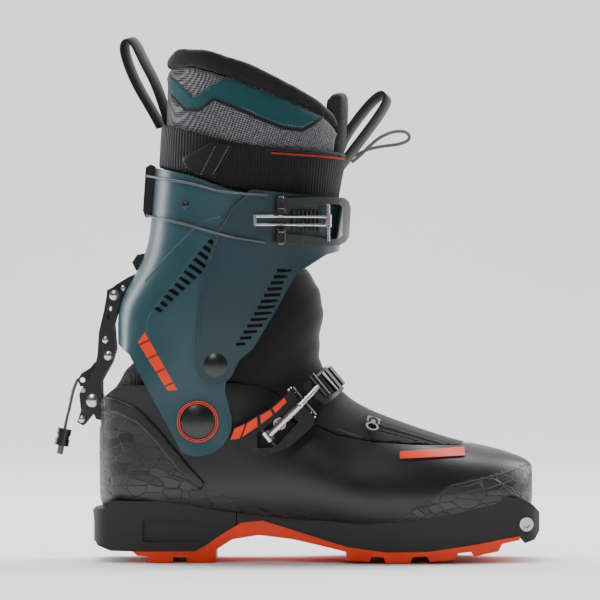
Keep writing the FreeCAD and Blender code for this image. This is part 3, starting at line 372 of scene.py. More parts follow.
def barred_plastic():
    """An orange stripe cut by dark red slanted bars."""
    finish = Finish("barred_plastic", ORANGE, 0.36)
    x, _, z = finish.xyz()
    run = (x * 0.42 - z * 0.90) * (2 * math.pi / (BAR_PITCH * MM))
    bar = finish.step(run.math("SINE"), 0.90, 0.96)
    finish.feed(base_color=finish.blend_color(bar, ORANGE, (0.20, 0.020, 0.008)))
    finish.feed(roughness=0.3 + finish.noise(200.0) * 0.12)
    return finish


dress(["ankle_rings"], ringed_plastic())
dress(["cuff_stripe"], barred_plastic())
print("plastics done")

# %% [markdown]
# ## Rubber and metal
#
# The sole is moulded rubber: dull, with a fine even grain.  The fittings are steel, brushed along
# their length, and the buckles are aluminium under a black coat that wears to a sheen.


# %% rubber and metal
def rubber(name, color, roughness):
    finish = Finish(name, color, roughness, specular_ior_level=0.4)
    finish.feed(base_color=finish.tone(0.18, 30.0))
    finish.feed(roughness=roughness - 0.06 + finish.noise(80.0, 4.0) * 0.16)
    finish.bump(finish.noise(1500.0, 2.0) * 0.3, 0.0004, 0.6)
    return finish


def steel(name, color, roughness):
    finish = Finish(name, color, roughness, metallic=1.0)
    brushed = finish.noise(900.0, 3.0, (0.08, 1.0, 1.0))
    finish.feed(base_color=finish.tone(0.08, 120.0))
    finish.feed(roughness=roughness - 0.06 + brushed * 0.16)
    finish.bump(brushed * 0.2, 0.0002, 0.4)
    return finish


def coated_metal():
    finish = Finish("black_coated_metal", (0.011, 0.011, 0.012), 0.3, coat_weight=0.2,
                    coat_roughness=0.2)
    worn = finish.step(finish.noise(220.0, 5.0), 0.60, 0.72)
    finish.feed(base_color=finish.blend_color(worn, (0.010, 0.010, 0.011), (0.035, 0.035, 0.037)))
    finish.feed(roughness=0.24 + finish.noise(130.0, 3.0) * 0.2)
    finish.bump(finish.noise(1800.0, 1.0) * 0.06, 0.0004, 0.5)
    return finish


sole_finish = rubber("black_rubber", (0.019, 0.019, 0.0195), 0.56)
tread_finish = rubber("orange_rubber", (0.88, 0.042, 0.003), 0.46)
steel_finish = steel("bright_steel", (0.60, 0.60, 0.61), 0.24)
cable_finish = steel("dark_cable", (0.11, 0.115, 0.12), 0.34)
coated_finish = coated_metal()
dress(["midsole", "heel_block"], sole_finish)
dress(["outsole"], tread_finish)
dress(["heel_insert", "heel_insert_screws", "toe_fitting", "spine_pin", "instep_rivets",
       "lever_pivot_pin", "bracket_screws", "cuff_buckle_pins",
       "walk_lever_rivets", "cuff_lever_pin", "cuff_buckle_bail", "instep_arm"], steel_finish)
dress(["cuff_cables"], cable_finish)
dress(["ankle_rivets", "spine_fork", "instep_buckle_base", "instep_ladder", "flap_rivets",
       "cuff_rivets", "cable_bracket", "lever_bracket", "lean_adjuster", "cuff_buckle_base",
       "cuff_ladder", "walk_lever_plates", "lean_rack", "leash_anchor", "cord_toggle",
       "cuff_buckle_lever", "instep_lever", "instep_hook", "zip_slider", "zip_pull"],
      coated_finish)
print("rubber and metal done")

# %% [markdown]
# ## Fabrics
#
# The liner is a knit mesh: rows of pale yarn round dark holes, so the product of two slanted sine
# waves is both its colour and its bump.  The gaiter is a coated stretch cloth with a fine weave and
# the webbing has ribs across it.  All of them are nearly matt, with a little sheen from loose
# fibres.


# %% fabrics
WEAVE = 2.2
STRAP_CENTRE = 38.0
STRAP_RIBS = 160.0


def fabric(name, color, roughness=0.85, sheen=0.25):
    return Finish(name, color, roughness, sheen_weight=sheen, sheen_roughness=0.4,
                  specular_ior_level=0.25)


def knit_mesh(name, yarn, hole, pitch=2.2):
    """Rows of loops: the product of two slanted sine waves, one loop each pitch in mm."""
    finish = fabric(name, yarn)
    x, y, z = finish.xyz()
    run = x * 0.8 + y * 0.6
    rate = 2 * math.pi / (pitch * MM)
    first = ((run + z * 0.5) * rate).math("SINE")
    second = ((z * 0.9 - run * 0.45) * rate).math("SINE")
    thread = finish.step(first * second, -0.55, 0.25)
    fleck = finish.step(finish.noise(700.0, 3.0), 0.35, 0.65)
    finish.feed(base_color=finish.blend_color(thread * (0.40 + fleck * 0.60), hole, yarn))
    finish.bump(thread, 0.0005, 0.8)
    return finish


def woven(name, color, scale=1500.0, light=2.2):
    """Threads that cross; light says how much paler the raised ones are."""
    finish = fabric(name, color)
    x, y, z = finish.xyz()
    warp = (z * scale * WEAVE).math("SINE")
    weft = ((x + y * 0.8) * scale * WEAVE).math("SINE")
    cloth = (warp * weft) * 0.5 + 0.5
    pale = [c * light for c in color]
    finish.feed(base_color=finish.blend_color(cloth * finish.noise(400.0), color, pale))
    finish.bump(cloth, 0.0003, 0.6)
    return finish


def ribbed(name, color, centre_x, ribs):
    """Webbing that runs round the leg, with its ribs upright."""
    finish = fabric(name, color, 0.8, 0.12)
    x, y, _ = finish.xyz()
    turn = y.math("ARCTAN2", x - centre_x * MM)
    rib = (turn * ribs).math("SINE") * 0.5 + 0.5
    worn = finish.noise(180.0, 4.0)
    finish.feed(base_color=finish.blend_color(rib * worn, color, [c * 3.2 for c in color]))
    finish.bump(rib, 0.0006, 0.9)
    return finish


mesh_finish = knit_mesh("grey_mesh", (0.25, 0.246, 0.26), (0.022, 0.022, 0.024))
dark_mesh_finish = knit_mesh("black_mesh", (0.050, 0.050, 0.053), (0.008, 0.008, 0.009), 1.9)
collar_finish = woven("black_brushed_cloth", (0.0085, 0.0085, 0.009), 1700.0)
gaiter_finish = woven("gaiter_cloth", (0.0135, 0.0135, 0.0145), 1400.0, 1.8)
band_finish = woven("teal_cloth", (0.009, 0.055, 0.062), 1500.0, 1.4)
strap_finish = ribbed("ribbed_webbing", (0.0075, 0.0075, 0.008), STRAP_CENTRE, STRAP_RIBS)
webbing_finish = woven("black_webbing", (0.0085, 0.0085, 0.009), 1100.0, 3.0)
loop_finish = woven("black_loop", (0.0095, 0.0095, 0.010), 900.0, 3.4)
piping_finish = woven("black_piping", (0.010, 0.010, 0.0105), 2400.0)
red_finish = woven("red_piping", (0.30, 0.016, 0.008), 2400.0)
thread_finish = woven("grey_thread", (0.16, 0.16, 0.165), 3000.0)
cord_finish = woven("grey_cord", (0.115, 0.115, 0.12), 2600.0, 2.0)
dress(["footbed"], woven("footbed_felt", (0.045, 0.045, 0.05), 800.0))
dress(["zip_tape"], piping_finish)
dress(["leash_knot"], cord_finish)
print("fabrics done")

# %% [markdown]
# ## The two cords
#
# A thin leash hangs from the walk lever and ends in a small toggle, and a draw cord makes a loop in
# front of the tongue.  A cord is one smooth curve through a few given points, so it is a NURBS
# spline with a round bevel.

# %% cords
LEASH_R = 1.1
LEASH_ROUTE = [(-84.4, 0.0, 125.4), (-87.2, -0.6, 119.4), (-88.8, -0.4, 112.6),
               (-90.4, 0.4, 105.0), (-92.4, 0.6, 97.6), (-93.6, 0.2, 90.6)]
LINER_CORD_R = 1.2
LINER_CORD_ROUTE = [(105.6, -9.0, 275.4), (111.4, -9.4, 279.6), (118.6, -8.6, 287.4),
                    (126.6, -6.6, 293.8), (136.2, -3.8, 297.4), (144.6, -0.6, 297.0),
                    (146.8, 2.2, 291.6), (139.4, 4.4, 288.4), (129.0, 6.0, 287.4),
                    (118.4, 7.4, 285.6), (111.0, 8.2, 282.0), (106.2, 8.4, 280.2)]


def cord_curve(name, route, radius, finish):
    """A round cord along a route in mm."""
    data = bpy.data.curves.new(name, "CURVE")
    data.dimensions = "3D"
    data.bevel_depth = radius * MM
    data.bevel_resolution = 4
    data.resolution_u = 12
    data.use_fill_caps = True
    spline = data.splines.new("NURBS")
    spline.points.add(len(route) - 1)
    for point, place in zip(spline.points, route):
        point.co = (*[v * MM for v in place], 1.0)
    spline.order_u = 3
    spline.use_endpoint_u = True
    data.materials.append(finish.material)
    return new_object(name, data)


def curve_length(curve):
    """Length of the curve's centre line in metres."""
    plain = curve.data.copy()
    plain.bevel_depth = 0.0
    probe = bpy.data.objects.new("probe", plain)
    mesh = bpy.data.meshes.new_from_object(probe)
    points = [v.co for v in mesh.vertices]
    total = sum((b - a).length for a, b in zip(points, points[1:]))
    bpy.data.objects.remove(probe)
    return total


leash = cord_curve("leash", LEASH_ROUTE, LEASH_R, cord_finish)
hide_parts("leash_cord")
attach(leash, "walk_lever")
curve_length(leash)
draw_cord = cord_curve("draw_cord", LINER_CORD_ROUTE, LINER_CORD_R, cord_finish)
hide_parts("liner_cord")
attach(draw_cord, "cuff")
curve_length(draw_cord)
print("cords", round(curve_length(leash), 4), round(curve_length(draw_cord), 4))

# %% [markdown]
# ## Working on a surface
#
# Straps, patches, piping and stitches all lie on something.  A ray sent sideways at a place in the
# side view finds the surface there, so each of them is drawn in the side view and then laid on.


# %% surface helpers
PIPING_STEP = 1.6
THREAD_R = 0.22


def tree_of(*objects):
    """A search tree over the shown shape of some objects, in the frame's own metres."""
    depsgraph = bpy.context.evaluated_depsgraph_get()
    verts = []
    faces = []
    for thing in objects:
        mesh = bpy.data.meshes.new_from_object(thing.evaluated_get(depsgraph))
        base = len(verts)
        verts += [v.co.copy() for v in mesh.vertices]
        faces += [[base + i for i in p.vertices] for p in mesh.polygons]
        bpy.data.meshes.remove(mesh)
    return BVHTree.FromPolygons(verts, faces)


def land(tree, x, z, side, lift):
    """The point of the surface at x and z in the side view, raised by lift; all in mm."""
    start = Vector((x * MM, side * 0.2, z * MM))
    hit, normal, _, _ = tree.ray_cast(start, Vector((0, -side, 0)))
    if hit is None:
        hit, normal, _, _ = tree.find_nearest(Vector((x * MM, side * 0.03, z * MM)))
    if normal.y * side < 0:
        normal = -normal
    return hit + normal * (lift * MM)


def inside(point, outline):
    """Whether a side-view point is inside the outline."""
    x, z = point
    found = False
    for (ax, az), (bx, bz) in zip(outline, outline[1:] + outline[:1]):
        if (az > z) != (bz > z) and x < (bx - ax) * (z - az) / (bz - az) + ax:
            found = not found
    return found


def walk(outline, spacing, closed=True):
    """Points along the outline, about this far apart."""
    ends = outline[1:] + outline[:1] if closed else outline[1:]
    points = []
    for start, end in zip(outline, ends):
        run = Vector(end) - Vector(start)
        count = max(1, round(run.length / spacing))
        points += [tuple(Vector(start) + run * (step / count)) for step in range(count)]
    return points if closed else points + [tuple(outline[-1])]


def turn_outwards(mesh):
    """Makes every face of a closed mesh look outwards."""
    made = bmesh.new()
    made.from_mesh(mesh)
    bmesh.ops.recalc_face_normals(made, faces=made.faces)
    made.to_mesh(mesh)
    made.free()


def finish_piece(name, mesh, finish, body):
    """A smooth piece with its finish and the body that it rides on."""
    for polygon in mesh.polygons:
        polygon.use_smooth = True
    mesh.materials.clear()
    mesh.materials.append(finish.material)
    piece = new_object(name, mesh)
    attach(piece, body)
    return piece


def patch(name, outline, tree, side, lift, thick, finish, body, spacing=2.0):
    """A thin panel with this side-view outline, laid on a surface."""
    rim = walk(outline, spacing)
    low_x, high_x = min(p[0] for p in rim), max(p[0] for p in rim)
    low_z, high_z = min(p[1] for p in rim), max(p[1] for p in rim)
    points = [Vector(p) for p in rim]
    for row in range(1, int((high_z - low_z) / spacing) + 1):
        for column in range(1, int((high_x - low_x) / spacing) + 1):
            place = Vector((low_x + column * spacing, low_z + row * spacing))
            near = min((place - Vector(p)).length for p in rim)
            if near > spacing * 0.6 and inside(place, outline):
                points.append(place)
    ring = [(i, (i + 1) % len(rim)) for i in range(len(rim))]
    flat, _, faces, _, _, _ = delaunay_2d_cdt(points, ring, [list(range(len(rim)))], 1, 1e-5)
    top = [land(tree, p.x, p.y, side, lift + thick) for p in flat]
    bottom = [land(tree, p.x, p.y, side, lift) for p in flat]
    count = len(flat)
    mesh = bpy.data.meshes.new(name)
    faces = [tuple(f) for f in faces]
    polygons = faces + [tuple(i + count for i in reversed(f)) for f in faces]
    edges = {pair: None for face in faces for pair in zip(face, face[1:] + face[:1])}
    for a, b in edges:
        if (b, a) not in edges:
            polygons.append((b, a, a + count, b + count))
    mesh.from_pydata(top + bottom, [], polygons)
    turn_outwards(mesh)
    return finish_piece(name, mesh, finish, body)


def tube(mesh, points, radius, sides=8, flatten=1.0):
    """Adds a round tube along points to a bmesh."""
    rings = []
    for index, point in enumerate(points):
        ahead = points[min(index + 1, len(points) - 1)]
        behind = points[max(index - 1, 0)]
        along = (ahead - behind).normalized()
        across = along.cross(Vector((0, 1, 0)))
        if across.length < 1e-6:
            across = along.cross(Vector((0, 0, 1)))
        across.normalize()
        out = along.cross(across).normalized()
        ring = []
        for step in range(sides):
            turn = 2 * math.pi * step / sides
            offset = across * math.cos(turn) + out * (math.sin(turn) * flatten)
            ring.append(mesh.verts.new(point + offset * (radius * MM)))
        rings.append(ring)
    for low, high in zip(rings, rings[1:]):
        for step in range(sides):
            after = (step + 1) % sides
            mesh.faces.new((low[step], low[after], high[after], high[step]))
    mesh.faces.new(rings[0][::-1])
    mesh.faces.new(rings[-1])


def to_mesh(name, made):
    """A mesh from a bmesh, which is freed."""
    bmesh.ops.recalc_face_normals(made, faces=made.faces)
    mesh = bpy.data.meshes.new(name)
    made.to_mesh(mesh)
    made.free()
    return mesh


def piping(name, route, tree, side, lift, radius, finish, body, closed=False, flatten=1.0):
    """A raised cord or rib sewn along a side-view route."""
    made = bmesh.new()
    places = walk(route, PIPING_STEP, closed)
    if closed:
        places.append(places[0])
    tube(made, [land(tree, x, z, side, lift) for x, z in places], radius, flatten=flatten)
    return finish_piece(name, to_mesh(name, made), finish, body)


def stitches(name, route, tree, side, lift, finish, body, pitch=2.4, length=1.5):
    """A row of short stitches along a side-view route."""
    made = bmesh.new()
    places = walk(route, pitch, False)
    for start, after in zip(places, places[1:]):
        run = (Vector(after) - Vector(start)).normalized() * length
        points = []
        for share, rise in ((0.0, -0.1), (0.5, 0.12), (1.0, -0.1)):
            points.append(land(tree, start[0] + run.x * share, start[1] + run.y * share, side,
                               lift + rise))
        tube(made, points, THREAD_R, 6)
    return finish_piece(name, to_mesh(name, made), finish, body)


print("surface helpers ready")

# %% [markdown]
# ## The liner
#
# The liner is foam under cloth.  Its solid is copied, remeshed into an even net of small faces and
# blown up a little as cloth, so that its edges go round and its panels swell between the seams.
# The shaft, the collar and the tongue are separate cushions, as they are when they are sewn.


# %% soft solids
PUFF_FRAMES = 15
CLOTH_STIFFNESS = 40


def apply_modifiers(piece):
    """Replaces the piece's mesh by its shown shape."""
    depsgraph = bpy.context.evaluated_depsgraph_get()
    mesh = bpy.data.meshes.new_from_object(piece.evaluated_get(depsgraph))
    piece.modifiers.clear()
    piece.data = mesh


def soft_copy(name, sources, voxel, smooth=6):
    """An evenly meshed, rounded copy of CAD solids."""
    made = bmesh.new()
    for source in sources:
        made.from_mesh(nodes[source].data)
    mesh = bpy.data.meshes.new(name)
    made.to_mesh(mesh)
    made.free()
    piece = new_object(name, mesh)
    remesh = piece.modifiers.new("net", "REMESH")
    remesh.mode = "VOXEL"
    remesh.voxel_size = voxel * MM
    relax = piece.modifiers.new("relax", "SMOOTH")
    relax.factor = 0.5
    relax.iterations = smooth
    apply_modifiers(piece)
    return piece


def puff(piece, pressure, cap):
    """Blows the piece up as cloth, but moves no point further than cap millimetres."""
    rest = [v.co.copy() for v in piece.data.vertices]
    cloth = piece.modifiers.new("cloth", "CLOTH")
    cloth.settings.use_pressure = True
    cloth.settings.uniform_pressure_force = pressure
    cloth.settings.effector_weights.gravity = 0.0
    cloth.settings.tension_stiffness = CLOTH_STIFFNESS
    cloth.settings.compression_stiffness = CLOTH_STIFFNESS
    for number in range(1, PUFF_FRAMES + 1):
        bpy.context.scene.frame_set(number)
    apply_modifiers(piece)
    bpy.context.scene.frame_set(1)
    for vertex, start in zip(piece.data.vertices, rest):
        move = vertex.co - start
        if move.length > cap * MM:
            vertex.co = start + move.normalized() * (cap * MM)


def soft_finish(piece, finish, slot, *replaced):
    """A smooth soft piece with its finish and the nodes that it stands for; slot is not used."""
    for polygon in piece.data.polygons:
        polygon.use_smooth = True
    piece.data.materials.clear()
    piece.data.materials.append(finish.material)
    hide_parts(*replaced)


def refine(piece):
    """Splits every face once into a smoother surface."""
    detail = piece.modifiers.new("detail", "SUBSURF")
    detail.levels = 1
    detail.render_levels = 1
    apply_modifiers(piece)


liner = soft_copy("liner_body", ["liner_shaft"], 3.2)
puff(liner, 3.0, 1.4)
refine(liner)
soft_finish(liner, mesh_finish, "liner_grey", "liner_shaft")
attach(liner, "cuff")
collar = soft_copy("liner_collar_roll", ["liner_collar"], 2.4, 8)
puff(collar, 5.0, 2.2)
refine(collar)
soft_finish(collar, collar_finish, "liner_black", "liner_collar")
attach(collar, "cuff")
tongue = soft_copy("liner_tongue_pad", ["liner_tongue"], 3.5, 4)
puff(tongue, 4.0, 1.6)
refine(tongue)
soft_finish(tongue, dark_mesh_finish, "liner_black", "liner_tongue")
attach(tongue, "cuff")
foot_liner = soft_copy("liner_foot_part", ["liner_foot"], 3.0, 2)
soft_finish(foot_liner, dark_mesh_finish, "liner_black", "liner_foot")
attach(foot_liner, "shell")
print("liner", len(liner.data.polygons), "collar", len(collar.data.polygons))

# %% [markdown]
# The teal band runs along each side of the liner below the collar, and dips to a point round a
# triangle of bare mesh at the back.  It is cut as a flat panel in the side view and laid on the
# liner, and black piping covers its raw lower edge.

# %% liner panels
BAND = [(-22.5, 336.0), (-16.5, 332.5), (-3.0, 319.0), (21.0, 333.4), (45.0, 324.0),
        (70.0, 313.5), (85.8, 305.6), (78.0, 299.8), (71.2, 296.0), (58.6, 297.4),
        (44.0, 303.0), (29.6, 309.6), (11.0, 317.4), (0.5, 310.0), (-8.3, 310.6), (-18.6, 322.0)]
liner_tree = tree_of(liner, collar)
for side, word in ((-1, "outer"), (1, "inner")):
    patch("liner_band_" + word, BAND, liner_tree, side, 0.1, 0.7, band_finish, "cuff")
    piping("band_piping_" + word, BAND[6:], liner_tree, side, 0.5, 1.25,
           piping_finish, "cuff", flatten=0.7)
    stitches("band_stitches_" + word, [(x, z + 2.4) for x, z in BAND[7:12]], liner_tree, side,
             1.0, thread_finish, "cuff", 2.0, 1.2)
print("liner panels laid")

# %% [markdown]
# ## The gaiter over the ankle
#
# A stretch cloth closes the gap between the cuff and the shell; on the real boot it folds when the
# ankle moves.  It is one sheet in the shape of an arch, drawn in planes that all pass through the
# ankle axis.


# %% the gaiter
SIDE_REACH = 26
FOLD = 0.5
FOLD_RATE = 0.42


def arch(name, profile, half_low, half_high, power, thick, finish, steps=56, across=40):
    """A sheet across the ankle: profile gives (angle in degrees, radius in mm) up the leg."""
    angles = [row[0] for row in profile]
    rows = []
    for index in range(steps + 1):
        angle = angles[0] + (angles[-1] - angles[0]) * index / steps
        for low, high in zip(profile, profile[1:]):
            if angle <= high[0]:
                break
        share = (angle - low[0]) / (high[0] - low[0])
        share = share * share * (3 - 2 * share) * 0.5 + share * 0.5
        reach = low[1] + (high[1] - low[1]) * share
        part = index / steps
        rows.append((math.radians(angle), reach, half_low + (half_high - half_low) * part))
    verts = []
    for layer in (0.0, -thick):
        for angle, reach, half in rows:
            for step in range(across + 1):
                turn = math.pi * (step / across - 0.5)
                y = (half + layer) * math.copysign(abs(math.sin(turn)) ** (2 / power), turn)
                fold = FOLD * math.sin(math.degrees(angle) * FOLD_RATE + 3 * math.cos(turn))
                rise = reach - SIDE_REACH + layer + fold
                depth = SIDE_REACH + rise * math.cos(turn) ** (2 / power)
                verts.append(ANKLE + Vector((depth * math.cos(angle), y,
                                             depth * math.sin(angle))) * MM)
    width = across + 1
    count = width * (steps + 1)
    faces = []
    for row in range(steps):
        for step in range(across):
            a = row * width + step
            face = (a, a + 1, a + 1 + width, a + width)
            faces.append(face)
            faces.append(tuple(i + count for i in reversed(face)))
    rim = list(range(width)) + [r * width + across for r in range(1, steps + 1)]
    rim += [steps * width + s for s in range(across - 1, -1, -1)]
    rim += [r * width for r in range(steps - 1, 0, -1)]
    for a, b in zip(rim, rim[1:] + rim[:1]):
        faces.append((b, a, a + count, b + count))
    mesh = bpy.data.meshes.new(name)
    mesh.from_pydata(verts, [], faces)
    mesh.validate()
    turn_outwards(mesh)
    for polygon in mesh.polygons:
        polygon.use_smooth = True
    mesh.materials.append(finish.material)
    piece = new_object(name, mesh)
    return piece


GAITER_PROFILE = [(-4, 104), (4, 103), (12, 97), (20, 93), (27, 93), (34, 101), (42, 115),
                  (48, 124), (54, 128), (60, 126)]
gaiter = arch("ankle_gaiter", GAITER_PROFILE, 34.5, 37.5, 2.6, 1.6, gaiter_finish)
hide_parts("gaiter_upper")
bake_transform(gaiter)
HEEL_PROFILE = [(118, 58), (126, 60), (136, 61), (146, 61), (156, 62), (164, 62)]
heel_sleeve = arch("heel_sleeve", HEEL_PROFILE, 33.0, 32.0, 3.2, 1.6, dark_mesh_finish,
                   32, 36)
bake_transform(heel_sleeve)
instep_cloth = soft_copy("instep_gaiter", ["gaiter_lower"], 1.2, 1)
soft_finish(instep_cloth, gaiter_finish, "gaiter_fabric", "gaiter_lower")
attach(instep_cloth, "shell")
print("gaiter", len(gaiter.data.polygons), "heel sleeve", len(heel_sleeve.data.polygons))

# %% [markdown]
# ## The power strap and the pull loops
#
# The strap is thick ribbed elastic with a bound upper edge, and a stitched tab where it is held to
# the cuff.  Its solid is remeshed finely and rounded, and the binding and the stitches are laid on.
# The pull loops are webbing that is folded over and sewn, so each is a flat ribbon along a route.

# %% strap and loops
strap = soft_copy("power_strap_web", ["power_strap"], 1.6, 2)
soft_finish(strap, strap_finish, "webbing", "power_strap")
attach(strap, "cuff")
strap_tree = tree_of(strap)


def strap_line(x, drop):
    """Height of the strap at x, this far below its upper edge."""
    knots = [(-60, 306), (-29, 303), (-9.6, 297.5), (22, 288.5), (47, 284), (106, 280.5),
             (130, 279)]
    for (ax, az), (bx, bz) in zip(knots, knots[1:]):
        if x <= bx:
            break
    return az + (bz - az) * (x - ax) / (bx - ax) - drop


red_run = [(x, strap_line(x, 3.4)) for x in range(50, 105, 3)]
bound_run = [(x, strap_line(x, 0.8)) for x in range(46, 105, 3)]
piping("strap_red_line", red_run, strap_tree, -1, 0.15, 0.7, red_finish, "cuff")
piping("strap_binding", bound_run, strap_tree, -1, 0.0, 1.3, piping_finish, "cuff")
TAB = [(-10.2, 277.0), (-8.3, 271.0), (1.8, 265.0), (11.9, 262.8), (24.5, 285.6), (9.3, 287.6)]
tab = patch("strap_tab", TAB, strap_tree, -1, 0.1, 1.0, webbing_finish, "cuff")
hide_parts("strap_patch")
tab_tree = tree_of(strap, tab)
for number, (x_low, x_high) in enumerate(((2.0, 12.4), (10.4, 21.8))):
    stitches("tab_stitches_%d" % number, [(x_low, 265.6), (x_high, 285.4)], tab_tree, -1, 0.15,
             thread_finish, "cuff", 2.0, 1.3)


def rounded(points, rounds=3):
    """Cuts the corners of an open route until it is smooth."""
    for _ in range(rounds):
        out = [points[0]]
        for start, end in zip(points, points[1:]):
            out.append(start + (end - start) * 0.25)
            out.append(start + (end - start) * 0.75)
        points = out + [points[-1]]
    return points


def ribbon(name, route, half_width, thick):
    """Webbing along a route; half_width points from its middle to one edge, all in mm."""
    places = rounded([Vector(p) for p in route])
    half = Vector(half_width)
    verts = []
    for index, place in enumerate(places):
        ahead = places[min(index + 1, len(places) - 1)]
        behind = places[max(index - 1, 0)]
        face = (ahead - behind).cross(half).normalized() * (thick / 2)
        edge = half * (1 - 0.5 * thick / half.length)
        ring = (half, edge + face, -edge + face, -half, -edge - face, edge - face)
        verts += [(place + offset) * MM for offset in ring]
    size = 6
    faces = []
    for index in range(len(places) - 1):
        for step in range(size):
            a = index * size + step
            b = index * size + (step + 1) % size
            faces.append((a, b, b + size, a + size))
    faces.append(tuple(range(size))[::-1])
    faces.append(tuple(range(len(verts) - size, len(verts))))
    mesh = bpy.data.meshes.new(name)
    mesh.from_pydata(verts, [], faces)
    turn_outwards(mesh)
    return finish_piece(name, mesh, loop_finish, "cuff")


REAR_LOOP = [(-20.5, 0, 300), (-24.5, 0, 314), (-30.5, 0, 331), (-38.5, 0, 346), (-44.5, 0, 359),
             (-49.5, 0, 362.5), (-53.0, 0, 356), (-48.5, 0, 341), (-41.5, 0, 326),
             (-33.5, 0, 313), (-26.5, 0, 300)]
rear_loop = ribbon("rear_loop_web", REAR_LOOP, (2.7, 7.5, 1.3), 1.9)
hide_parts("rear_pull_loop")
FRONT_LOOP = [(97.5, 0, 272), (107.5, 0, 285), (121.0, 0, 302.5), (131.5, 0, 318.5),
              (129.5, 0, 324), (122.5, 0, 320.5), (111.5, 0, 308), (100.5, 0, 292),
              (97, 0, 282)]
front_loop = ribbon("front_loop_web", FRONT_LOOP, (2.4, 7, -1.7), 1.8)
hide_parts("front_pull_loop")
print("strap and loops done")

# %% [markdown]
# ## Vents and ribs
#
# The cuff has two rows of vent slits, and shallow ribs that stiffen it.  The shade inside the vents
# is
# painted: near-black bars are set in the grooves, and each rib is a flattened tube that is half
# sunk in the cuff.

# %% vents and ribs
cuff_tree = tree_of(nodes["cuff"])
flap_tree = tree_of(nodes["cuff_flap"])
# Painted shade: near-black, dull bars stand in for the shadow inside the vent slits.
vent_shade_finish = Finish("vent_painted_shade", (0.0025, 0.0025, 0.003), 0.8, specular_ior_level=0.12)
vent_shade_finish.feed(roughness=0.7 + vent_shade_finish.noise(300.0) * 0.2)
VENT_CLEAR = 1.6
VENT_LIFTS = (0.35, -1.0)
REAR_BARS = 12
FRONT_BARS = 13
FLAP_RIM = [(36.5, 254), (23.6, 242), (14.4, 226.5), (6.6, 203), (2.6, 182.4), (0.4, 152)]
CUFF_RIDGE = [(-36.5, 192.5), (-18, 213), (0.2, 232), (8, 235.5), (17, 236.6)]
CUFF_PANEL = [(-35, 157), (-33.6, 168.8), (-14, 194), (1.6, 216)]


def vent_shade_bars(name, outlines, tree, side):
    """Flat bars of painted shade that fill the vent grooves; their depth is taken just outside each
    groove.
    """
    made = bmesh.new()
    for outline in outlines:
        middle = sum((Vector(p) for p in outline), Vector((0, 0))) / len(outline)
        rings = []
        for lift in VENT_LIFTS:
            ring = []
            for x, z in outline:
                outwards = (Vector((x, z)) - middle).normalized()
                clear = Vector((x, z)) + outwards * VENT_CLEAR
                depth = land(tree, clear.x, clear.y, side, 0).y + side * lift * MM
                ring.append(made.verts.new((x * MM, depth, z * MM)))
            rings.append(ring)
        made.faces.new(rings[0])
        made.faces.new(rings[1][::-1])
        for step in range(4):
            after = (step + 1) % 4
            made.faces.new((rings[0][step], rings[1][step], rings[1][after], rings[0][after]))
    vents = finish_piece(name, to_mesh(name, made), vent_shade_finish, "cuff")
    for polygon in vents.data.polygons:
        polygon.use_smooth = False


rear_bars = []
for step in range(REAR_BARS):
    share = step / (REAR_BARS - 1)
    x = -28.5 + 36.5 * share
    z = 173.5 + 46.0 * share
    reach = (3.6 + 6.2 * share) * 0.75 + 1.6 * share
    rear_bars.append([(x - 1.6, z + 0.4), (x + reach, z - reach * 0.8),
                      (x + reach + 1.9, z - reach * 0.8 + 1.6), (x + 0.8, z + 2.2)])
front_bars = []
for step in range(FRONT_BARS):
    share = step / (FRONT_BARS - 1)
    x = 26.5 + 31.5 * share
    z = 149 + 50 * share
    end = x + 6.0 + 5.0 * math.sin(math.pi * min(1.0, share * 1.2))
    start = x - 3.6 * share ** 1.5
    front_bars.append([(start, z - 0.3), (end, z + 0.3), (end, z + 2.1 + 0.4 * share),
                       (start, z + 1.7 + 0.4 * share)])
for side, word in ((-1, "outer"), (1, "inner")):
    vent_shade_bars("rear_vents_" + word, rear_bars, cuff_tree, side)
    vent_shade_bars("front_vents_" + word, front_bars, flap_tree, side)
    piping("flap_rim_" + word, FLAP_RIM, flap_tree, side, -0.1, 1.1, flap_finish, "cuff",
           flatten=0.7)
    piping("cuff_ridge_" + word, CUFF_RIDGE, cuff_tree, side, -0.25, 0.8, cuff_finish, "cuff",
           flatten=0.6)
    piping("cuff_panel_" + word, CUFF_PANEL, cuff_tree, side, -0.3, 0.7, cuff_finish, "cuff",
           flatten=0.6)
print("vents laid")

# %% [markdown]
# ## Raised parts of the shell
#
# A broad raised arm runs down the shell from the walk lever's pin, with the cracked panel behind
# it.  A ridge marks the edge of the toe's cracked panel, and a taped seam holds the gaiter's lower
# edge to the shell.

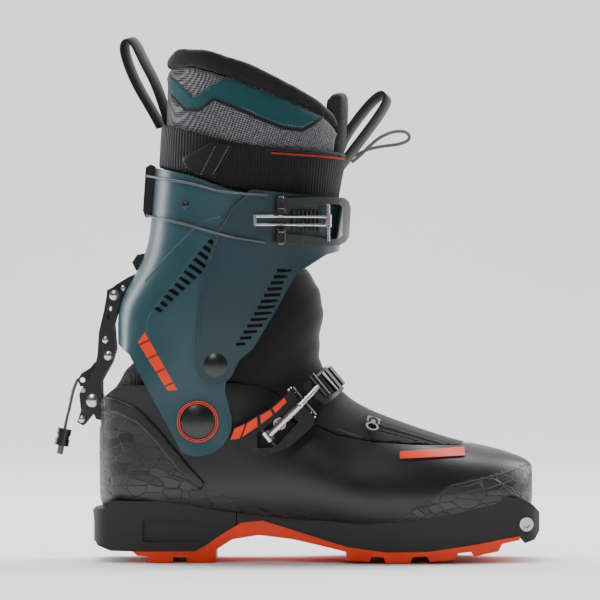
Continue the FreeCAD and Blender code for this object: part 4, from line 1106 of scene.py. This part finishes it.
# %% shell arm, toe ridge and gaiter tape
shell_tree = tree_of(nodes["lower_shell"])
ARM = [(-70, 115), (-58, 112.5), (-44, 107.5), (-36, 101.5), (-27, 92), (-9, 70.5), (5, 54.5),
       (1.5, 50), (-15, 65), (-33, 87), (-41, 95), (-52, 100.5), (-62, 103), (-70, 105)]
TOE_RIDGE = [(126, 23.5), (146.8, 36.4), (172.7, 52.9), (190.4, 56.3), (208, 60), (226, 65.5)]
GAITER_EDGE = [(95, 91), (104, 87.5), (118, 83), (136, 80), (156, 77.5), (172, 75.5)]
instep_tree = tree_of(instep_cloth)
for side, word in ((-1, "outer"), (1, "inner")):
    patch("shell_arm_" + word, ARM, shell_tree, side, -0.3, 1.5, arm_finish, "shell")
    piping("toe_ridge_" + word, TOE_RIDGE, shell_tree, side, -0.35, 0.8, arm_finish, "shell",
           flatten=0.7)
    piping("gaiter_tape_" + word, GAITER_EDGE, instep_tree, side, -0.5, 1.3, arm_finish, "shell",
           flatten=0.5)
print("shell arms laid")

# %% [markdown]
# The zip's teeth are moulded onto the tape in one row.  Each is a small block, dropped from above
# onto the middle of the tape.

# %% zip teeth
zip_tree = tree_of(nodes["zip_tape"])
teeth = bmesh.new()
tape_low, tape_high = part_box("zip_tape")
centre_y = (tape_low.y + tape_high.y) / 2
TOOTH = (1.1, 2.6, 0.8)
TOOTH_PITCH = 1.7
TAPE_END = 2.0
ABOVE = 0.2
count = int((tape_high.x - tape_low.x - 2 * TAPE_END * MM) / (TOOTH_PITCH * MM))
for step in range(count):
    x = tape_low.x + TAPE_END * MM + step * TOOTH_PITCH * MM
    hit = zip_tree.ray_cast(Vector((x, centre_y, ABOVE)), Vector((0, 0, -1)))[0]
    if hit is None:
        continue
    block = bmesh.ops.create_cube(teeth, size=1.0)["verts"]
    for vertex in block:
        vertex.co = hit + Vector([vertex.co[i] * TOOTH[i] * MM for i in range(3)])
finish_piece("zip_teeth", to_mesh("zip_teeth", teeth), piping_finish, "shell")
print("zip teeth", count)
